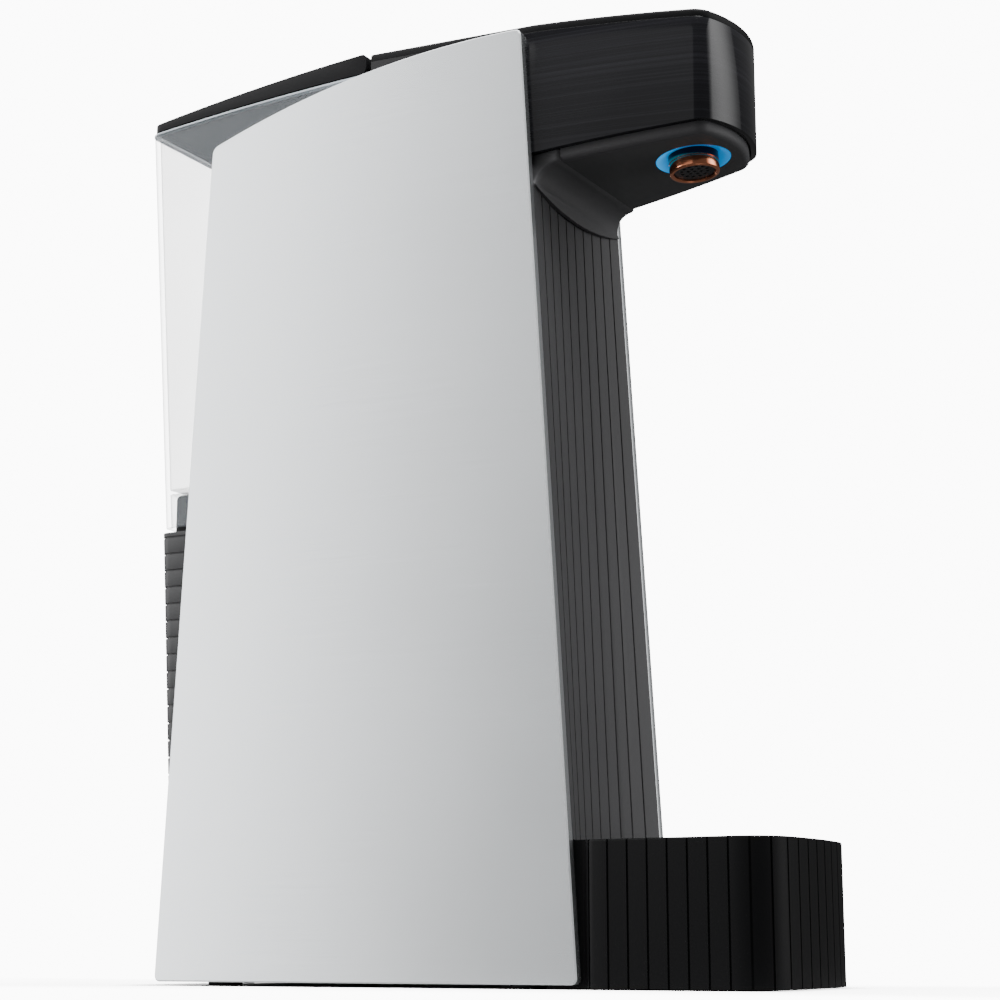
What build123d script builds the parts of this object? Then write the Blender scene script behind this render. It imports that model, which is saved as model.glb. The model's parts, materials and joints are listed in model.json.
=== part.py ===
from build123d import *
from math import ceil, sqrt
import os

os.makedirs("parts", exist_ok=True)

# ---------------------------------------------------------------------------
# Driving dimensions, in millimetres.
# X runs across the machine, +Y runs to the back, +Z is up. The origin is on the
# worktop, at the middle of the footprint.
# ---------------------------------------------------------------------------
overall_width = 86.0         # over the two side panels
overall_depth = 295.0        # from the front of the drip tray to the back of the tank's rim
overall_height = 389.4       # to the front edge of the tank lid, its highest point
tray_reach = 80.0            # how far the drip tray stands in front of the side panels
deck_height = 190.0          # top of the deck that the tank stands on
bay_depth = 97.0             # from the panels' foot back to the tank bay

# Side panels
panel_thick = 4.0
panel_lift = 1.7             # gap under the panels
panel_front_rake = 22.4      # how far the front edge leans back over its height
panel_rear_rake = 18.2       # how far the rear edge leans forward over its height
panel_front_drop = 7.0       # top front corner below the overall height
panel_rear_drop = 29.9       # top rear corner below the overall height
panel_crown_radius = 416.0
panel_corner_radius = 3.0
panel_edge_chamfer = 0.8
panel_inset_behind_tank = 20.5   # the tank's rim stands this far behind the panels' foot

# Head: a gloss shell under a flat top cover, with a matte underside
cover_thick = 3.6
cover_slope = 0.0468         # rise per mm towards the back
cover_drop_at_lid = 0.6      # cover below the lid at their joint
cover_edge_radius = 1.6
lid_gap = 2.3                # between the cover and the lid
head_low_drop = 59.9         # lower edge of the head, below the overall height, at the panels
head_start = 18.0            # where the head leaves the panels
head_rise = 0.082            # rise of the lower edge per mm towards the nose
nose_reach = 58.4            # nose in front of the panels' foot
nose_narrowing = 10.0        # per side, at the start of the nose
nose_side_end = 42.0         # where the head's sides meet the nose, in front of the foot
nose_front_radius = 52.0
nose_corner_radius = 10.0
head_wall = 2.5
underside_drop = 4.6         # underside below the shell's lower edge
underside_inset = 3.1
underside_floor = 2.4
underside_edge_radius = 2.4
cove_radius = 9.0
cove_drop = 14.5             # lowest point of the cove below the underside, at the middle
cove_arch = 5.5              # how much the cove's lower lip rises at its ends
cove_proud = 1.6             # how far the lip stands out of the column
cove_lap = 1.2               # how far the cove is let into the column

# Nozzle
nozzle_reach = 34.7          # nozzle's centre in front of the panels' foot
ring_radius = 15.3
ring_thick = 3.0
ring_dish = 1.6
collar_radius = 10.3
collar_wall = 1.9
collar_stand = 6.2           # how far the collar stands below the underside
collar_tail = 7.0            # how far it goes up inside the head
aerator_recess = 1.2
aerator_thick = 5.0

# Front column
column_wall = 2.8
column_dip_foot = 7.4        # hollow of the column's face at the drip tray
column_dip_top = 1.4         # and under the head
column_grooves = 9
groove_width = 0.8
groove_depth = 0.8
flange_thick = 2.0
flange_depth = 20.0

# Drip tray
tray_height = 54.6
tray_lift = 0.5
tray_overhang = 2.0          # tray wider than the body, per side
tray_front_radius = 194.0
tray_corner_radius = 16.4
tray_rear_radius = 6.0
tray_wall = 2.6
tray_floor_height = 12.0
tray_ledge = 2.0
tray_groove_pitch = 7.9
tray_plug_depth = 14.5       # part of the tray that fills in under the column
tray_tongue_depth = 40.0
tray_tongue_width = 58.0
tray_tongue_top = 24.0
grate_thick = 3.0
grate_slot = 3.2
grate_bar = 2.8

# Base
foot_radius = 7.0
foot_height = 2.3
base_thick = 3.0
frame_thick = 2.0
frame_setback = 15.5         # side frames start this far behind the column's face
shelf_thick = 2.5

# Rear housing
housing_wall = 2.5
housing_lean = 0.0617        # the rear wall leans back by this much per mm
housing_foot_inset = 3.8     # rear wall's foot in front of the panels' rear foot
housing_depth = 19.0
housing_corner_radius = 5.0
housing_groove_pitch = 7.25
housing_plain_foot = 62.0    # no grooves below this height, where the sockets are
housing_plain_top = 1.75

# Tank and lid
tank_wall = 2.2
tank_lean = 0.0735
tank_skirt = 17.3            # height of the skirt below the tank's floor
tank_lift = 2.4              # skirt above the deck
tank_floor_thick = 2.4
tank_corner_radius = 6.0
tank_rim_drop = 8.7          # rim below the overall height, at the lid's front
tank_rim_fall = 5.9          # from there to the rim's back
tank_rim_bow = 1.1           # how much the rim is arched between its ends
lid_rear_drop = 11.1         # top of the lid's back edge below the overall height
lid_bow = 1.3
lid_rear_inset = 2.0
lid_skin = 2.4
lid_front_radius = 2.5
hinge_back = 2.7             # pin behind the lid's front face
hinge_down = 4.5             # pin below the lid's top
hinge_pin_radius = 1.5
hinge_pin_length = 12.0
hinge_offset = 24.0          # each hinge from the middle
hinge_ear_thick = 3.0
hinge_ear_radius = 3.0

# Buttons
button_radius = 6.0
button_pitch = 16.0
button_reach = 26.0          # buttons' centres in front of the panels' foot
button_count = 3
button_proud = 0.6
button_travel = 0.8
button_flange = 1.0
button_flange_rim = 1.2      # flange wider than the button, if the next button leaves room

# Water parts
tube_radius = 3.0
tube_bore = 2.0
spigot_radius = 8.0
dock_width = 71.0
dock_length = 97.0
dock_corner_radius = 4.0
pump_motor_radius = 16.0
pump_head_radius = 20.0
pump_motor_length = 34.0
pump_head_length = 22.0
pump_axis_height = 34.0
cold_width = 52.0
cold_depth = 42.0
cold_height = 90.0
cold_stand_height = 50.0
cooler_size = 40.0
peltier_thick = 3.6
heatsink_depth = 18.0
heatsink_fins = 9
fan_thick = 10.0
fan_bore = 18.6
rotor_radius = 17.6
rotor_hub_radius = 7.0
rotor_blades = 7
fan_shaft_radius = 1.5
heater_radius = 17.0
heater_length = 54.0
filter_radius = 25.0
filter_height = 104.0

# Clearances
body_gap = 0.15              # between pieces that are screwed or snapped together
slide_gap = 0.35             # between pieces that slide or lift
pin_gap = 0.05               # hinge pins and shafts, on the radius

# ---------------------------------------------------------------------------
# Sizes and places worked out from the above
# ---------------------------------------------------------------------------
front = tray_reach - overall_depth / 2      # the panels' lower front corner
back = overall_depth / 2                    # back of the tank's rim
body_half = overall_width / 2 - panel_thick
inner_half = body_half - frame_thick
panel_rear_foot = back - panel_inset_behind_tank
panel_front_top = overall_height - panel_front_drop
panel_rear_top = overall_height - panel_rear_drop
rake = panel_front_rake / (panel_front_top - panel_lift)

base_top = foot_height + base_thick
bay = front + bay_depth                     # front face of the tank bay
cover_back = bay - body_gap
cover_back_top = overall_height - cover_drop_at_lid
lid_front = cover_back + lid_gap
head_low = overall_height - head_low_drop
tray_top = tray_height
column_foot = tray_top + slide_gap
pocket_back = front + tray_plug_depth


def face_y(z):
    """Depth of the column's front line, and of the panels' front edge, at height z."""
    return front + rake * (z - panel_lift)


def cover_z(y):
    """Height of the top cover at depth y."""
    return cover_back_top - cover_slope * (cover_back - y)


def head_low_z(y):
    """Height of the head's lower edge at depth y."""
    return head_low + head_rise * (front + head_start - y)


def tank_rear(z):
    """Depth of the tank's rear face at height z."""
    return back - tank_lean * (tank_rim_rear - z)


def housing_rear(z):
    """Depth of the rear housing's outer face at height z."""
    return panel_rear_foot - housing_foot_inset + housing_lean * (z - foot_height)


def rod(radius, start, end, bore=0.0):
    """A round bar or tube from one point to another."""
    run = Vector(*end) - Vector(*start)
    with BuildPart(Plane(origin=start, z_dir=run)) as bar:
        with BuildSketch(Plane(origin=start, z_dir=run)):
            Circle(radius)
            if bore:
                Circle(bore, mode=Mode.SUBTRACT)
        extrude(amount=run.length)
    return bar.part


def hose(points, bend):
    """A water tube that follows straight runs joined by bends, which the shortest run can tighten."""
    shortest = min((Vector(b) - Vector(a)).length for a, b in zip(points, points[1:]))
    bend = min(bend, 0.49 * shortest)
    with BuildPart() as tube:
        with BuildLine() as path:
            FilletPolyline(*points, radius=bend)
        with BuildSketch(Plane(origin=path.line @ 0, z_dir=path.line % 0)):
            Circle(tube_radius)
            Circle(tube_bore, mode=Mode.SUBTRACT)
        sweep()
    return tube.part


def head_plan(inset, tail):
    """Plan of the head, from depth tail forward round the nose, set in by inset."""
    half = body_half - body_gap
    start = front + head_start
    side_end = front - nose_side_end
    nose = front - nose_reach
    corner_x = half - nose_narrowing - (nose_reach - nose_side_end) * 0.12
    corner_y = nose + nose_front_radius - sqrt(nose_front_radius**2 - corner_x**2)
    side_mid = (half - nose_narrowing * 0.39, (start + side_end) / 2)
    with BuildSketch() as plan:
        with BuildLine():
            Polyline((half, start), (half, tail), (-half, tail), (-half, start))
            ThreePointArc((half, start), side_mid, (corner_x, corner_y))
            ThreePointArc((-half, start), (-side_mid[0], side_mid[1]), (-corner_x, corner_y))
            ThreePointArc((corner_x, corner_y), (0, nose), (-corner_x, corner_y))
        make_face()
        fillet(plan.vertices().group_by(Axis.Y)[0], nose_corner_radius)
        if inset:
            offset(amount=-inset, mode=Mode.REPLACE)
    return plan.sketch


def tray_plan(inset):
    """Plan of the drip tray in front of the panels, set in by inset."""
    half = body_half + tray_overhang
    rear = front - slide_gap
    corner_y = front - tray_reach + tray_front_radius - sqrt(tray_front_radius**2 - half**2)
    with BuildSketch() as plan:
        with BuildLine():
            Polyline((half, corner_y), (half, rear), (-half, rear), (-half, corner_y))
            ThreePointArc((half, corner_y), (0, front - tray_reach), (-half, corner_y))
        make_face()
        fillet(plan.vertices().group_by(Axis.Y)[0], tray_corner_radius)
        fillet(plan.vertices().group_by(Axis.Y)[-1], tray_rear_radius)
        if inset:
            offset(amount=-inset, mode=Mode.REPLACE)
    return plan.sketch


def column_section(z, near, far, half):
    """Slice of the column at height z, between near and far behind its hollow face."""
    dip = column_dip(z)
    line = face_y(z)
    with BuildSketch() as section:
        with BuildLine():
            ThreePointArc((-half, line + near), (0, line + dip + near), (half, line + near))
            Line((half, line + near), (half, line + far))
            ThreePointArc((half, line + far), (0, line + dip + far), (-half, line + far))
            Line((-half, line + far), (-half, line + near))
        make_face()
    return section.sketch


def column_dip(z):
    """Depth of the hollow in the column's face at height z."""
    share = (z - column_foot) / (head_low - column_foot)
    return column_dip_foot + (column_dip_top - column_dip_foot) * share


def tank_side(inset, low, high_cut):
    """Side outline of the tank, set in by inset, from height low to its rim less high_cut."""
    front_face = tank_front + inset
    with BuildSketch() as side:
        with BuildLine():
            Polyline(
                (front_face, tank_rim_front - high_cut),
                (front_face, low),
                (tank_rear(low) - inset, low),
                (tank_rear(tank_rim_rear) - inset, tank_rim_rear - high_cut),
            )
            ThreePointArc(
                (front_face, tank_rim_front - high_cut),
                ((front_face + back - inset) / 2, tank_rim_middle - high_cut),
                (tank_rear(tank_rim_rear) - inset, tank_rim_rear - high_cut),
            )
        make_face()
    return side.sketch


tank_half = body_half - slide_gap
tank_front = bay + slide_gap + 0.4
tank_bottom = deck_height + tank_lift
tank_floor = tank_bottom + tank_skirt
dock_height = tank_floor - tank_floor_thick - slide_gap - deck_height
tank_rim_front = overall_height - tank_rim_drop - 1.5 * slide_gap
tank_rim_rear = tank_rim_front - tank_rim_fall
tank_rim_middle = (tank_rim_front + tank_rim_rear) / 2 + tank_rim_bow

# Planes that lean with the head's underside, the top cover and the rear wall
underside_normal = (0, head_rise, 1)
nozzle_y = front - nozzle_reach
nozzle_plane = Plane(
    origin=(0, nozzle_y, head_low_z(nozzle_y) - underside_drop), x_dir=(1, 0, 0), z_dir=underside_normal
)
cover_normal = (0, -cover_slope, 1)
button_y = front - button_reach
cover_plane = Plane(origin=(0, button_y, cover_z(button_y)), x_dir=(1, 0, 0), z_dir=cover_normal)
button_xs = [(i - (button_count - 1) / 2) * button_pitch for i in range(button_count)]

# ---------------------------------------------------------------------------
# Side panels and the frames behind them
# ---------------------------------------------------------------------------
for side, sign in (("left", -1), ("right", 1)):
    with BuildPart() as side_panel:
        with BuildSketch(Plane.YZ.offset(sign * body_half)) as outline:
            with BuildLine():
                Line((front, panel_lift), (face_y(panel_front_top), panel_front_top))
                RadiusArc(
                    (face_y(panel_front_top), panel_front_top),
                    (panel_rear_foot - panel_rear_rake, panel_rear_top),
                    panel_crown_radius,
                )
                Line((panel_rear_foot - panel_rear_rake, panel_rear_top), (panel_rear_foot, panel_lift))
                Line((panel_rear_foot, panel_lift), (front, panel_lift))
            make_face()
            fillet(outline.vertices(), panel_corner_radius)
        extrude(amount=sign * panel_thick)
        outer_face = side_panel.faces().sort_by(Axis.X)[0 if sign < 0 else -1]
        chamfer(outer_face.edges(), panel_edge_chamfer)
    side_panel.part.label = f"side_panel_{side}"
    export_step(side_panel.part, f"parts/side_panel_{side}.step")

frame_rear = housing_rear(foot_height) - housing_depth
deck_bottom = deck_height - shelf_thick
screw_radius = 1.5
screw_head_radius = 2.8
screw_head_height = 1.6
panel_screw_places = [
    (front + 40.0, 30.0),
    (front + 150.0, 30.0),
    (front + 40.0, 165.0),
    (front + 150.0, 165.0),
    (front + 50.0, 300.0),
    (front + 84.0, 300.0),
]

for side, sign in (("left", -1), ("right", 1)):
    with BuildPart() as side_frame:
        with BuildSketch(Plane.YZ.offset(sign * inner_half)):
            with BuildLine():
                Polyline(
                    (face_y(base_top) + frame_setback, base_top),
                    (frame_rear, base_top),
                    (frame_rear, deck_bottom),
                    (bay - body_gap, deck_bottom),
                    (bay - body_gap, head_low),
                    (face_y(head_low) + frame_setback, head_low),
                    close=True,
                )
            make_face()
        extrude(amount=sign * frame_thick)
        with BuildSketch(Plane.YZ.offset(sign * inner_half)):
            with Locations(*panel_screw_places):
                Circle(screw_radius + body_gap)
        extrude(amount=sign * frame_thick, mode=Mode.SUBTRACT)
    side_frame.part.label = f"side_frame_{side}"
    export_step(side_frame.part, f"parts/side_frame_{side}.step")

with BuildPart() as panel_screws:
    for sign in (-1, 1):
        with BuildSketch(Plane.YZ.offset(sign * (inner_half - screw_head_height))):
            with Locations(*panel_screw_places):
                Circle(screw_head_radius)
        extrude(amount=sign * screw_head_height)
        with BuildSketch(Plane.YZ.offset(sign * inner_half)):
            with Locations(*panel_screw_places):
                Circle(screw_radius)
        extrude(amount=sign * frame_thick)
panel_screws.part.label = "panel_screws"
export_step(panel_screws.part, "parts/panel_screws.step")

# ---------------------------------------------------------------------------
# Base plate, its feet and screws, and the shelf at the deck's height
# ---------------------------------------------------------------------------
base_front = pocket_back + 1.5
base_depth = frame_rear + housing_depth - housing_wall - body_gap - base_front
base_middle = base_front + base_depth / 2
foot_places = [
    (x, y)
    for x in (-(body_half - foot_radius - 4.0), body_half - foot_radius - 4.0)
    for y in (base_front + foot_radius + 5.0, base_front + base_depth - foot_radius - 12.0)
]
base_screw_places = [(x * 0.45, y) for x, y in foot_places]

with BuildPart() as base_plate:
    with BuildSketch(Plane.XY.offset(foot_height)):
        with Locations((0, base_middle)):
            Rectangle(2 * (body_half - body_gap - housing_wall - body_gap), base_depth)
        with Locations((0, (base_front + frame_rear) / 2)):
            Rectangle(2 * (body_half - body_gap), frame_rear - base_front - 2 * body_gap)
    extrude(amount=base_thick)
    with BuildSketch(Plane.XY.offset(foot_height)):
        with Locations((0, base_middle)):
            with GridLocations(26.0, 8.0, 2, 6):
                SlotOverall(20.0, 3.0)
        with Locations(*base_screw_places):
            Circle(screw_radius + body_gap)
    extrude(amount=base_thick, mode=Mode.SUBTRACT)
base_plate.part.label = "base_plate"
export_step(base_plate.part, "parts/base_plate.step")

with BuildPart() as feet:
    with BuildSketch():
        with Locations(*foot_places):
            Circle(foot_radius)
    extrude(amount=foot_height)
    chamfer(feet.edges().group_by(Axis.Z)[0], 0.6)
feet.part.label = "feet"
export_step(feet.part, "parts/feet.step")

with BuildPart() as base_screws:
    with BuildSketch(Plane.XY.offset(foot_height - screw_head_height)):
        with Locations(*base_screw_places):
            Circle(screw_head_radius)
    extrude(amount=screw_head_height)
    with BuildSketch(Plane.XY.offset(foot_height)):
        with Locations(*base_screw_places):
            Circle(screw_radius)
    extrude(amount=base_thick)
base_screws.part.label = "base_screws"
export_step(base_screws.part, "parts/base_screws.step")

shelf_front = face_y(deck_height) + column_dip(deck_height) + column_wall + 1.0
shelf_depth = bay - body_gap - shelf_front
riser_y = front + 29.0
filter_y = front + 62.0
filter_feed_x = -14.0
heater_z = deck_bottom - 20.0 - heater_radius

with BuildPart() as mid_shelf:
    with BuildSketch(Plane.XY.offset(deck_bottom)):
        with Locations((0, shelf_front + shelf_depth / 2)):
            Rectangle(2 * (inner_half - body_gap), shelf_depth)
        with Locations((0, riser_y), (filter_feed_x, filter_y)):
            Circle(tube_radius + slide_gap, mode=Mode.SUBTRACT)
        with Locations((-inner_half, shelf_front), (inner_half, shelf_front)):
            Rectangle(2 * flange_thick + 4 * body_gap, 2 * flange_depth, mode=Mode.SUBTRACT)
    extrude(amount=shelf_thick)
mid_shelf.part.label = "mid_shelf"
export_step(mid_shelf.part, "parts/mid_shelf.step")

bay_wall_thick = 2.0
with BuildPart() as bay_wall:
    with BuildSketch(Plane.XZ.offset(-(bay - body_gap))):
        with BuildLine():
            Polyline(
                (-(inner_half - body_gap), deck_height),
                (inner_half - body_gap, deck_height),
                (inner_half - body_gap, head_low),
                (body_half - head_wall - 2 * body_gap, head_low),
                (body_half - head_wall - 2 * body_gap, cover_z(bay) - cover_thick - body_gap),
                (-(body_half - head_wall - 2 * body_gap), cover_z(bay) - cover_thick - body_gap),
                (-(body_half - head_wall - 2 * body_gap), head_low),
                (-(inner_half - body_gap), head_low),
                close=True,
            )
        make_face()
    extrude(amount=bay_wall_thick)
bay_wall.part.label = "bay_wall"
export_step(bay_wall.part, "parts/bay_wall.step")

# ---------------------------------------------------------------------------
# Front column, with its hollow ribbed face
# ---------------------------------------------------------------------------
column_half = body_half - body_gap
lip_y = face_y(head_low) - cove_proud


def underside_z(y):
    """Height of the flat underside at depth y."""
    return head_low_z(y) - underside_drop


cove_low = underside_z(lip_y) - cove_drop


def above_lip(low, high):
    """Outline across the machine, from the lip's arched edge (raised by low) up to height high."""
    half = column_half + 1.0
    with BuildSketch() as shape:
        with BuildLine():
            ThreePointArc(
                (-half, cove_low + cove_arch + low), (0, cove_low + low), (half, cove_low + cove_arch + low)
            )
            Polyline(
                (half, cove_low + cove_arch + low),
                (half, high),
                (-half, high),
                (-half, cove_low + cove_arch + low),
            )
        make_face()
    return shape.sketch


def behind_lap(gap):
    """Side outline in front of the line where the cove is let into the column, plus a gap."""
    far = cove_lap + gap
    with BuildSketch() as side:
        with BuildLine():
            Polyline(
                (front - nose_reach, cove_low - 10.0),
                (face_y(cove_low - 10.0) + far, cove_low - 10.0),
                (face_y(head_low + 10.0) + far, head_low + 10.0),
                (front - nose_reach, head_low + 10.0),
                close=True,
            )
        make_face()
    return side.sketch


groove_step = 2 * body_half / (column_grooves + 1)
groove_xs = [(i - (column_grooves - 1) / 2) * groove_step for i in range(column_grooves)]

with BuildPart() as front_column:
    for z in (column_foot, head_low):
        with BuildSketch(Plane.XY.offset(z)):
            add(column_section(z, 0.0, column_wall, column_half))
    loft()
    for sign in (-1, 1):
        flange_x = sign * (inner_half - body_gap - flange_thick / 2)
        for z in (column_foot, head_low):
            flange_mid = face_y(z) + column_wall / 2 + flange_depth / 2 + 1.0
            with BuildSketch(Plane.XY.offset(z)):
                with Locations((flange_x, flange_mid)):
                    Rectangle(flange_thick, flange_depth)
        loft()
    for x in groove_xs:
        for z in (column_foot, head_low):
            dip = column_dip(z) * (1 - (x / column_half) ** 2)
            with BuildSketch(Plane.XY.offset(z)):
                with Locations((x, face_y(z) + dip)):
                    Rectangle(groove_width, 2 * groove_depth)
        loft(mode=Mode.SUBTRACT)
    with BuildSketch(Plane.XZ.offset(-front)):
        add(above_lip(-body_gap, head_low + 1.0))
    lap_space = extrude(amount=-2 * head_start, mode=Mode.PRIVATE)
    with BuildSketch(Plane.YZ):
        add(behind_lap(body_gap))
    lap_space &= extrude(amount=overall_width, both=True, mode=Mode.PRIVATE)
    add(lap_space, mode=Mode.SUBTRACT)
front_column.part.label = "front_column"
export_step(front_column.part, "parts/front_column.step")

# ---------------------------------------------------------------------------
# Head: gloss shell, top cover, and the matte underside with its cove
# ---------------------------------------------------------------------------
shell_nose = front - nose_reach - 5.0
with BuildPart() as head_shell:
    with BuildSketch(Plane.XY.offset(head_low)):
        add(head_plan(0.0, cover_back))
        add(head_plan(head_wall, cover_back + 2 * head_wall), mode=Mode.SUBTRACT)
    extrude(amount=overall_height - head_low)
    with BuildSketch(Plane.YZ):
        with BuildLine():
            Polyline(
                (cover_back, head_low),
                (front + head_start, head_low),
                (shell_nose, head_low_z(shell_nose)),
                (shell_nose, cover_z(shell_nose) - cover_thick - body_gap),
                (cover_back, cover_z(cover_back) - cover_thick - body_gap),
                close=True,
            )
        make_face()
    extrude(amount=overall_width, both=True, mode=Mode.INTERSECT)
head_shell.part.label = "head_shell"
export_step(head_shell.part, "parts/head_shell.step")

board_gap = 5.4              # from the cover's underside to the control board
boss_radius = 2.6
board_width = 42.0
board_length = 44.0
board_thick = 1.6
board_corners = [(x, y) for x in (-17.0, 17.0) for y in (-18.0, 18.0)]

with BuildPart() as top_cover:
    with BuildSketch(Plane.XY.offset(head_low)):
        add(head_plan(0.0, cover_back))
    extrude(amount=overall_height)
    with BuildSketch(Plane.YZ):
        with BuildLine():
            Polyline(
                (cover_back, cover_z(cover_back)),
                (shell_nose, cover_z(shell_nose)),
                (shell_nose, cover_z(shell_nose) - cover_thick),
                (cover_back, cover_z(cover_back) - cover_thick),
                close=True,
            )
        make_face()
    extrude(amount=overall_width, both=True, mode=Mode.INTERSECT)
    fillet(top_cover.faces().sort_by(Axis.Z)[-1].edges(), cover_edge_radius)
    with BuildSketch(cover_plane.offset(-cover_thick / 2)):
        with Locations(*board_corners):
            Circle(boss_radius)
    extrude(amount=-board_gap - cover_thick / 2)
    with BuildSketch(cover_plane):
        with Locations(*[(x, 0) for x in button_xs]):
            Circle(button_radius + slide_gap)
    extrude(amount=-2 * cover_thick, mode=Mode.SUBTRACT)
top_cover.part.label = "top_cover"
export_step(top_cover.part, "parts/top_cover.step")

# The underside is cut to the lean of the head's lower edge and ends at the cove
cove_front = lip_y - cove_radius
underside_back = cove_front - body_gap
underside_top = 8.0
underside_wall = 2.2
with BuildPart() as head_underside:
    with BuildSketch(Plane.XY.offset(head_low - 2 * underside_drop)):
        add(head_plan(underside_inset, lip_y + head_start))
    extrude(amount=overall_height - head_low)
    with BuildSketch(Plane.YZ):
        with BuildLine():
            Polyline(
                (underside_back, underside_z(underside_back)),
                (shell_nose, underside_z(shell_nose)),
                (shell_nose, underside_z(shell_nose) + underside_top),
                (underside_back, underside_z(underside_back) + underside_top),
                close=True,
            )
        make_face()
    extrude(amount=overall_width, both=True, mode=Mode.INTERSECT)
    low_edges = head_underside.faces().sort_by(Axis.Z)[0].edges()
    fillet(low_edges.filter_by_position(Axis.Y, shell_nose, underside_back - 1.0), underside_edge_radius)
    with BuildSketch(Plane.XY.offset(head_low - underside_drop)):
        add(head_plan(underside_inset + underside_wall, lip_y + head_start))
    pocket = extrude(amount=overall_height - head_low, mode=Mode.PRIVATE)
    with BuildSketch(Plane.YZ):
        with BuildLine():
            Polyline(
                (underside_back - underside_wall, underside_z(underside_back) + underside_floor),
                (shell_nose, underside_z(shell_nose) + underside_floor),
                (shell_nose, overall_height),
                (underside_back - underside_wall, overall_height),
                close=True,
            )
        make_face()
    pocket &= extrude(amount=overall_width, both=True, mode=Mode.PRIVATE)
    add(pocket, mode=Mode.SUBTRACT)
    with BuildSketch(nozzle_plane.offset(-underside_top)):
        Circle(ring_radius + body_gap)
    extrude(amount=2 * underside_top, mode=Mode.SUBTRACT)
head_underside.part.label = "head_underside"
export_step(head_underside.part, "parts/head_underside.step")

# Between the underside and the column: a cove with an arched lower lip, let into the column
with BuildPart() as cove:
    with BuildSketch(Plane.YZ):
        lip_top = underside_z(lip_y) - cove_radius
        lap_top = face_y(head_low) + cove_lap
        with BuildLine():
            Polyline(
                (cove_front, underside_z(cove_front)),
                (cove_front, head_low_z(cove_front) - body_gap),
                (lap_top, head_low - body_gap),
                (lap_top, cove_low),
                (lip_y, cove_low),
                (lip_y, lip_top),
            )
            RadiusArc((lip_y, lip_top), (cove_front, underside_z(cove_front)), -cove_radius)
        make_face()
    extrude(amount=column_half, both=True)
    with BuildSketch(Plane.YZ):
        add(behind_lap(0.0))
    extrude(amount=overall_width, both=True, mode=Mode.INTERSECT)
    with BuildSketch(Plane.XZ.offset(-front)):
        add(above_lip(0.0, overall_height))
    extrude(amount=-2 * head_start, mode=Mode.INTERSECT)
cove.part.label = "cove"
export_step(cove.part, "parts/cove.step")

# ---------------------------------------------------------------------------
# Nozzle: light ring, collar, aerator, and what is above them in the head
# ---------------------------------------------------------------------------
nozzle_axis = Axis(nozzle_plane.origin, nozzle_plane.z_dir)
nozzle_section = Plane(
    origin=nozzle_plane.origin, x_dir=nozzle_plane.x_dir, z_dir=-nozzle_plane.y_dir
)
ring_bore = collar_radius + body_gap

with BuildPart() as led_ring:
    with BuildSketch(nozzle_section):
        with BuildLine():
            Polyline(
                (ring_bore, ring_dish),
                (ring_radius, 0),
                (ring_radius, ring_thick),
                (ring_bore, ring_thick + ring_dish),
                close=True,
            )
        make_face()
    revolve(axis=nozzle_axis)
led_ring.part.label = "led_ring"
export_step(led_ring.part, "parts/led_ring.step")

led_board_thick = 1.6
led_board_level = ring_thick + ring_dish + body_gap
with BuildPart() as led_board:
    with BuildSketch(nozzle_plane.offset(led_board_level)):
        Circle(ring_radius)
        Circle(ring_bore, mode=Mode.SUBTRACT)
    extrude(amount=led_board_thick)
led_board.part.label = "led_board"
export_step(led_board.part, "parts/led_board.step")

with BuildPart() as nozzle_collar:
    with BuildSketch(nozzle_plane.offset(-collar_stand)):
        Circle(collar_radius)
        Circle(collar_radius - collar_wall, mode=Mode.SUBTRACT)
    extrude(amount=collar_stand + collar_tail)
    fillet(nozzle_collar.edges().group_by(nozzle_axis)[0], 0.6)
nozzle_collar.part.label = "nozzle_collar"
export_step(nozzle_collar.part, "parts/nozzle_collar.step")

aerator_radius = collar_radius - collar_wall - body_gap
with BuildPart() as nozzle_aerator:
    with BuildSketch(nozzle_plane.offset(aerator_recess - collar_stand)):
        Circle(aerator_radius)
        Circle(0.8, mode=Mode.SUBTRACT)
        for radius, count in ((2.7, 6), (5.4, 12)):
            with PolarLocations(radius, count):
                Circle(0.8, mode=Mode.SUBTRACT)
    extrude(amount=aerator_thick)
nozzle_aerator.part.label = "nozzle_aerator"
export_step(nozzle_aerator.part, "parts/nozzle_aerator.step")

socket_cap = 3.0
with BuildPart() as nozzle_socket:
    with BuildSketch(nozzle_plane.offset(collar_tail)):
        Circle(collar_radius)
        Circle(tube_bore, mode=Mode.SUBTRACT)
    extrude(amount=socket_cap)
nozzle_socket.part.label = "nozzle_socket"
export_step(nozzle_socket.part, "parts/nozzle_socket.step")

valve_width = 24.0
valve_length = 23.0
valve_height = 20.0
valve_coil_radius = 10.0
valve_coil_height = 12.0
valve_y = front - 7.0
valve_outlet = 16.0
valve_plane = Plane(
    origin=(0, valve_y, underside_z(valve_y) + underside_floor), x_dir=(1, 0, 0), z_dir=underside_normal
)
with BuildPart() as outlet_valve:
    with BuildSketch(valve_plane):
        RectangleRounded(valve_width, valve_length, 2.0)
    extrude(amount=valve_height)
    with BuildSketch(valve_plane.offset(valve_height)):
        Circle(valve_coil_radius)
    extrude(amount=valve_coil_height)
outlet_valve.part.label = "outlet_valve"
export_step(outlet_valve.part, "parts/outlet_valve.step")

# ---------------------------------------------------------------------------
# Push buttons, their switches and the control board under the top cover
# ---------------------------------------------------------------------------
board_top = cover_thick + board_gap          # below the cover's top
button_low = cover_thick + slide_gap
button_stem = 1.0
button_names = ("left", "middle", "right")

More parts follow.
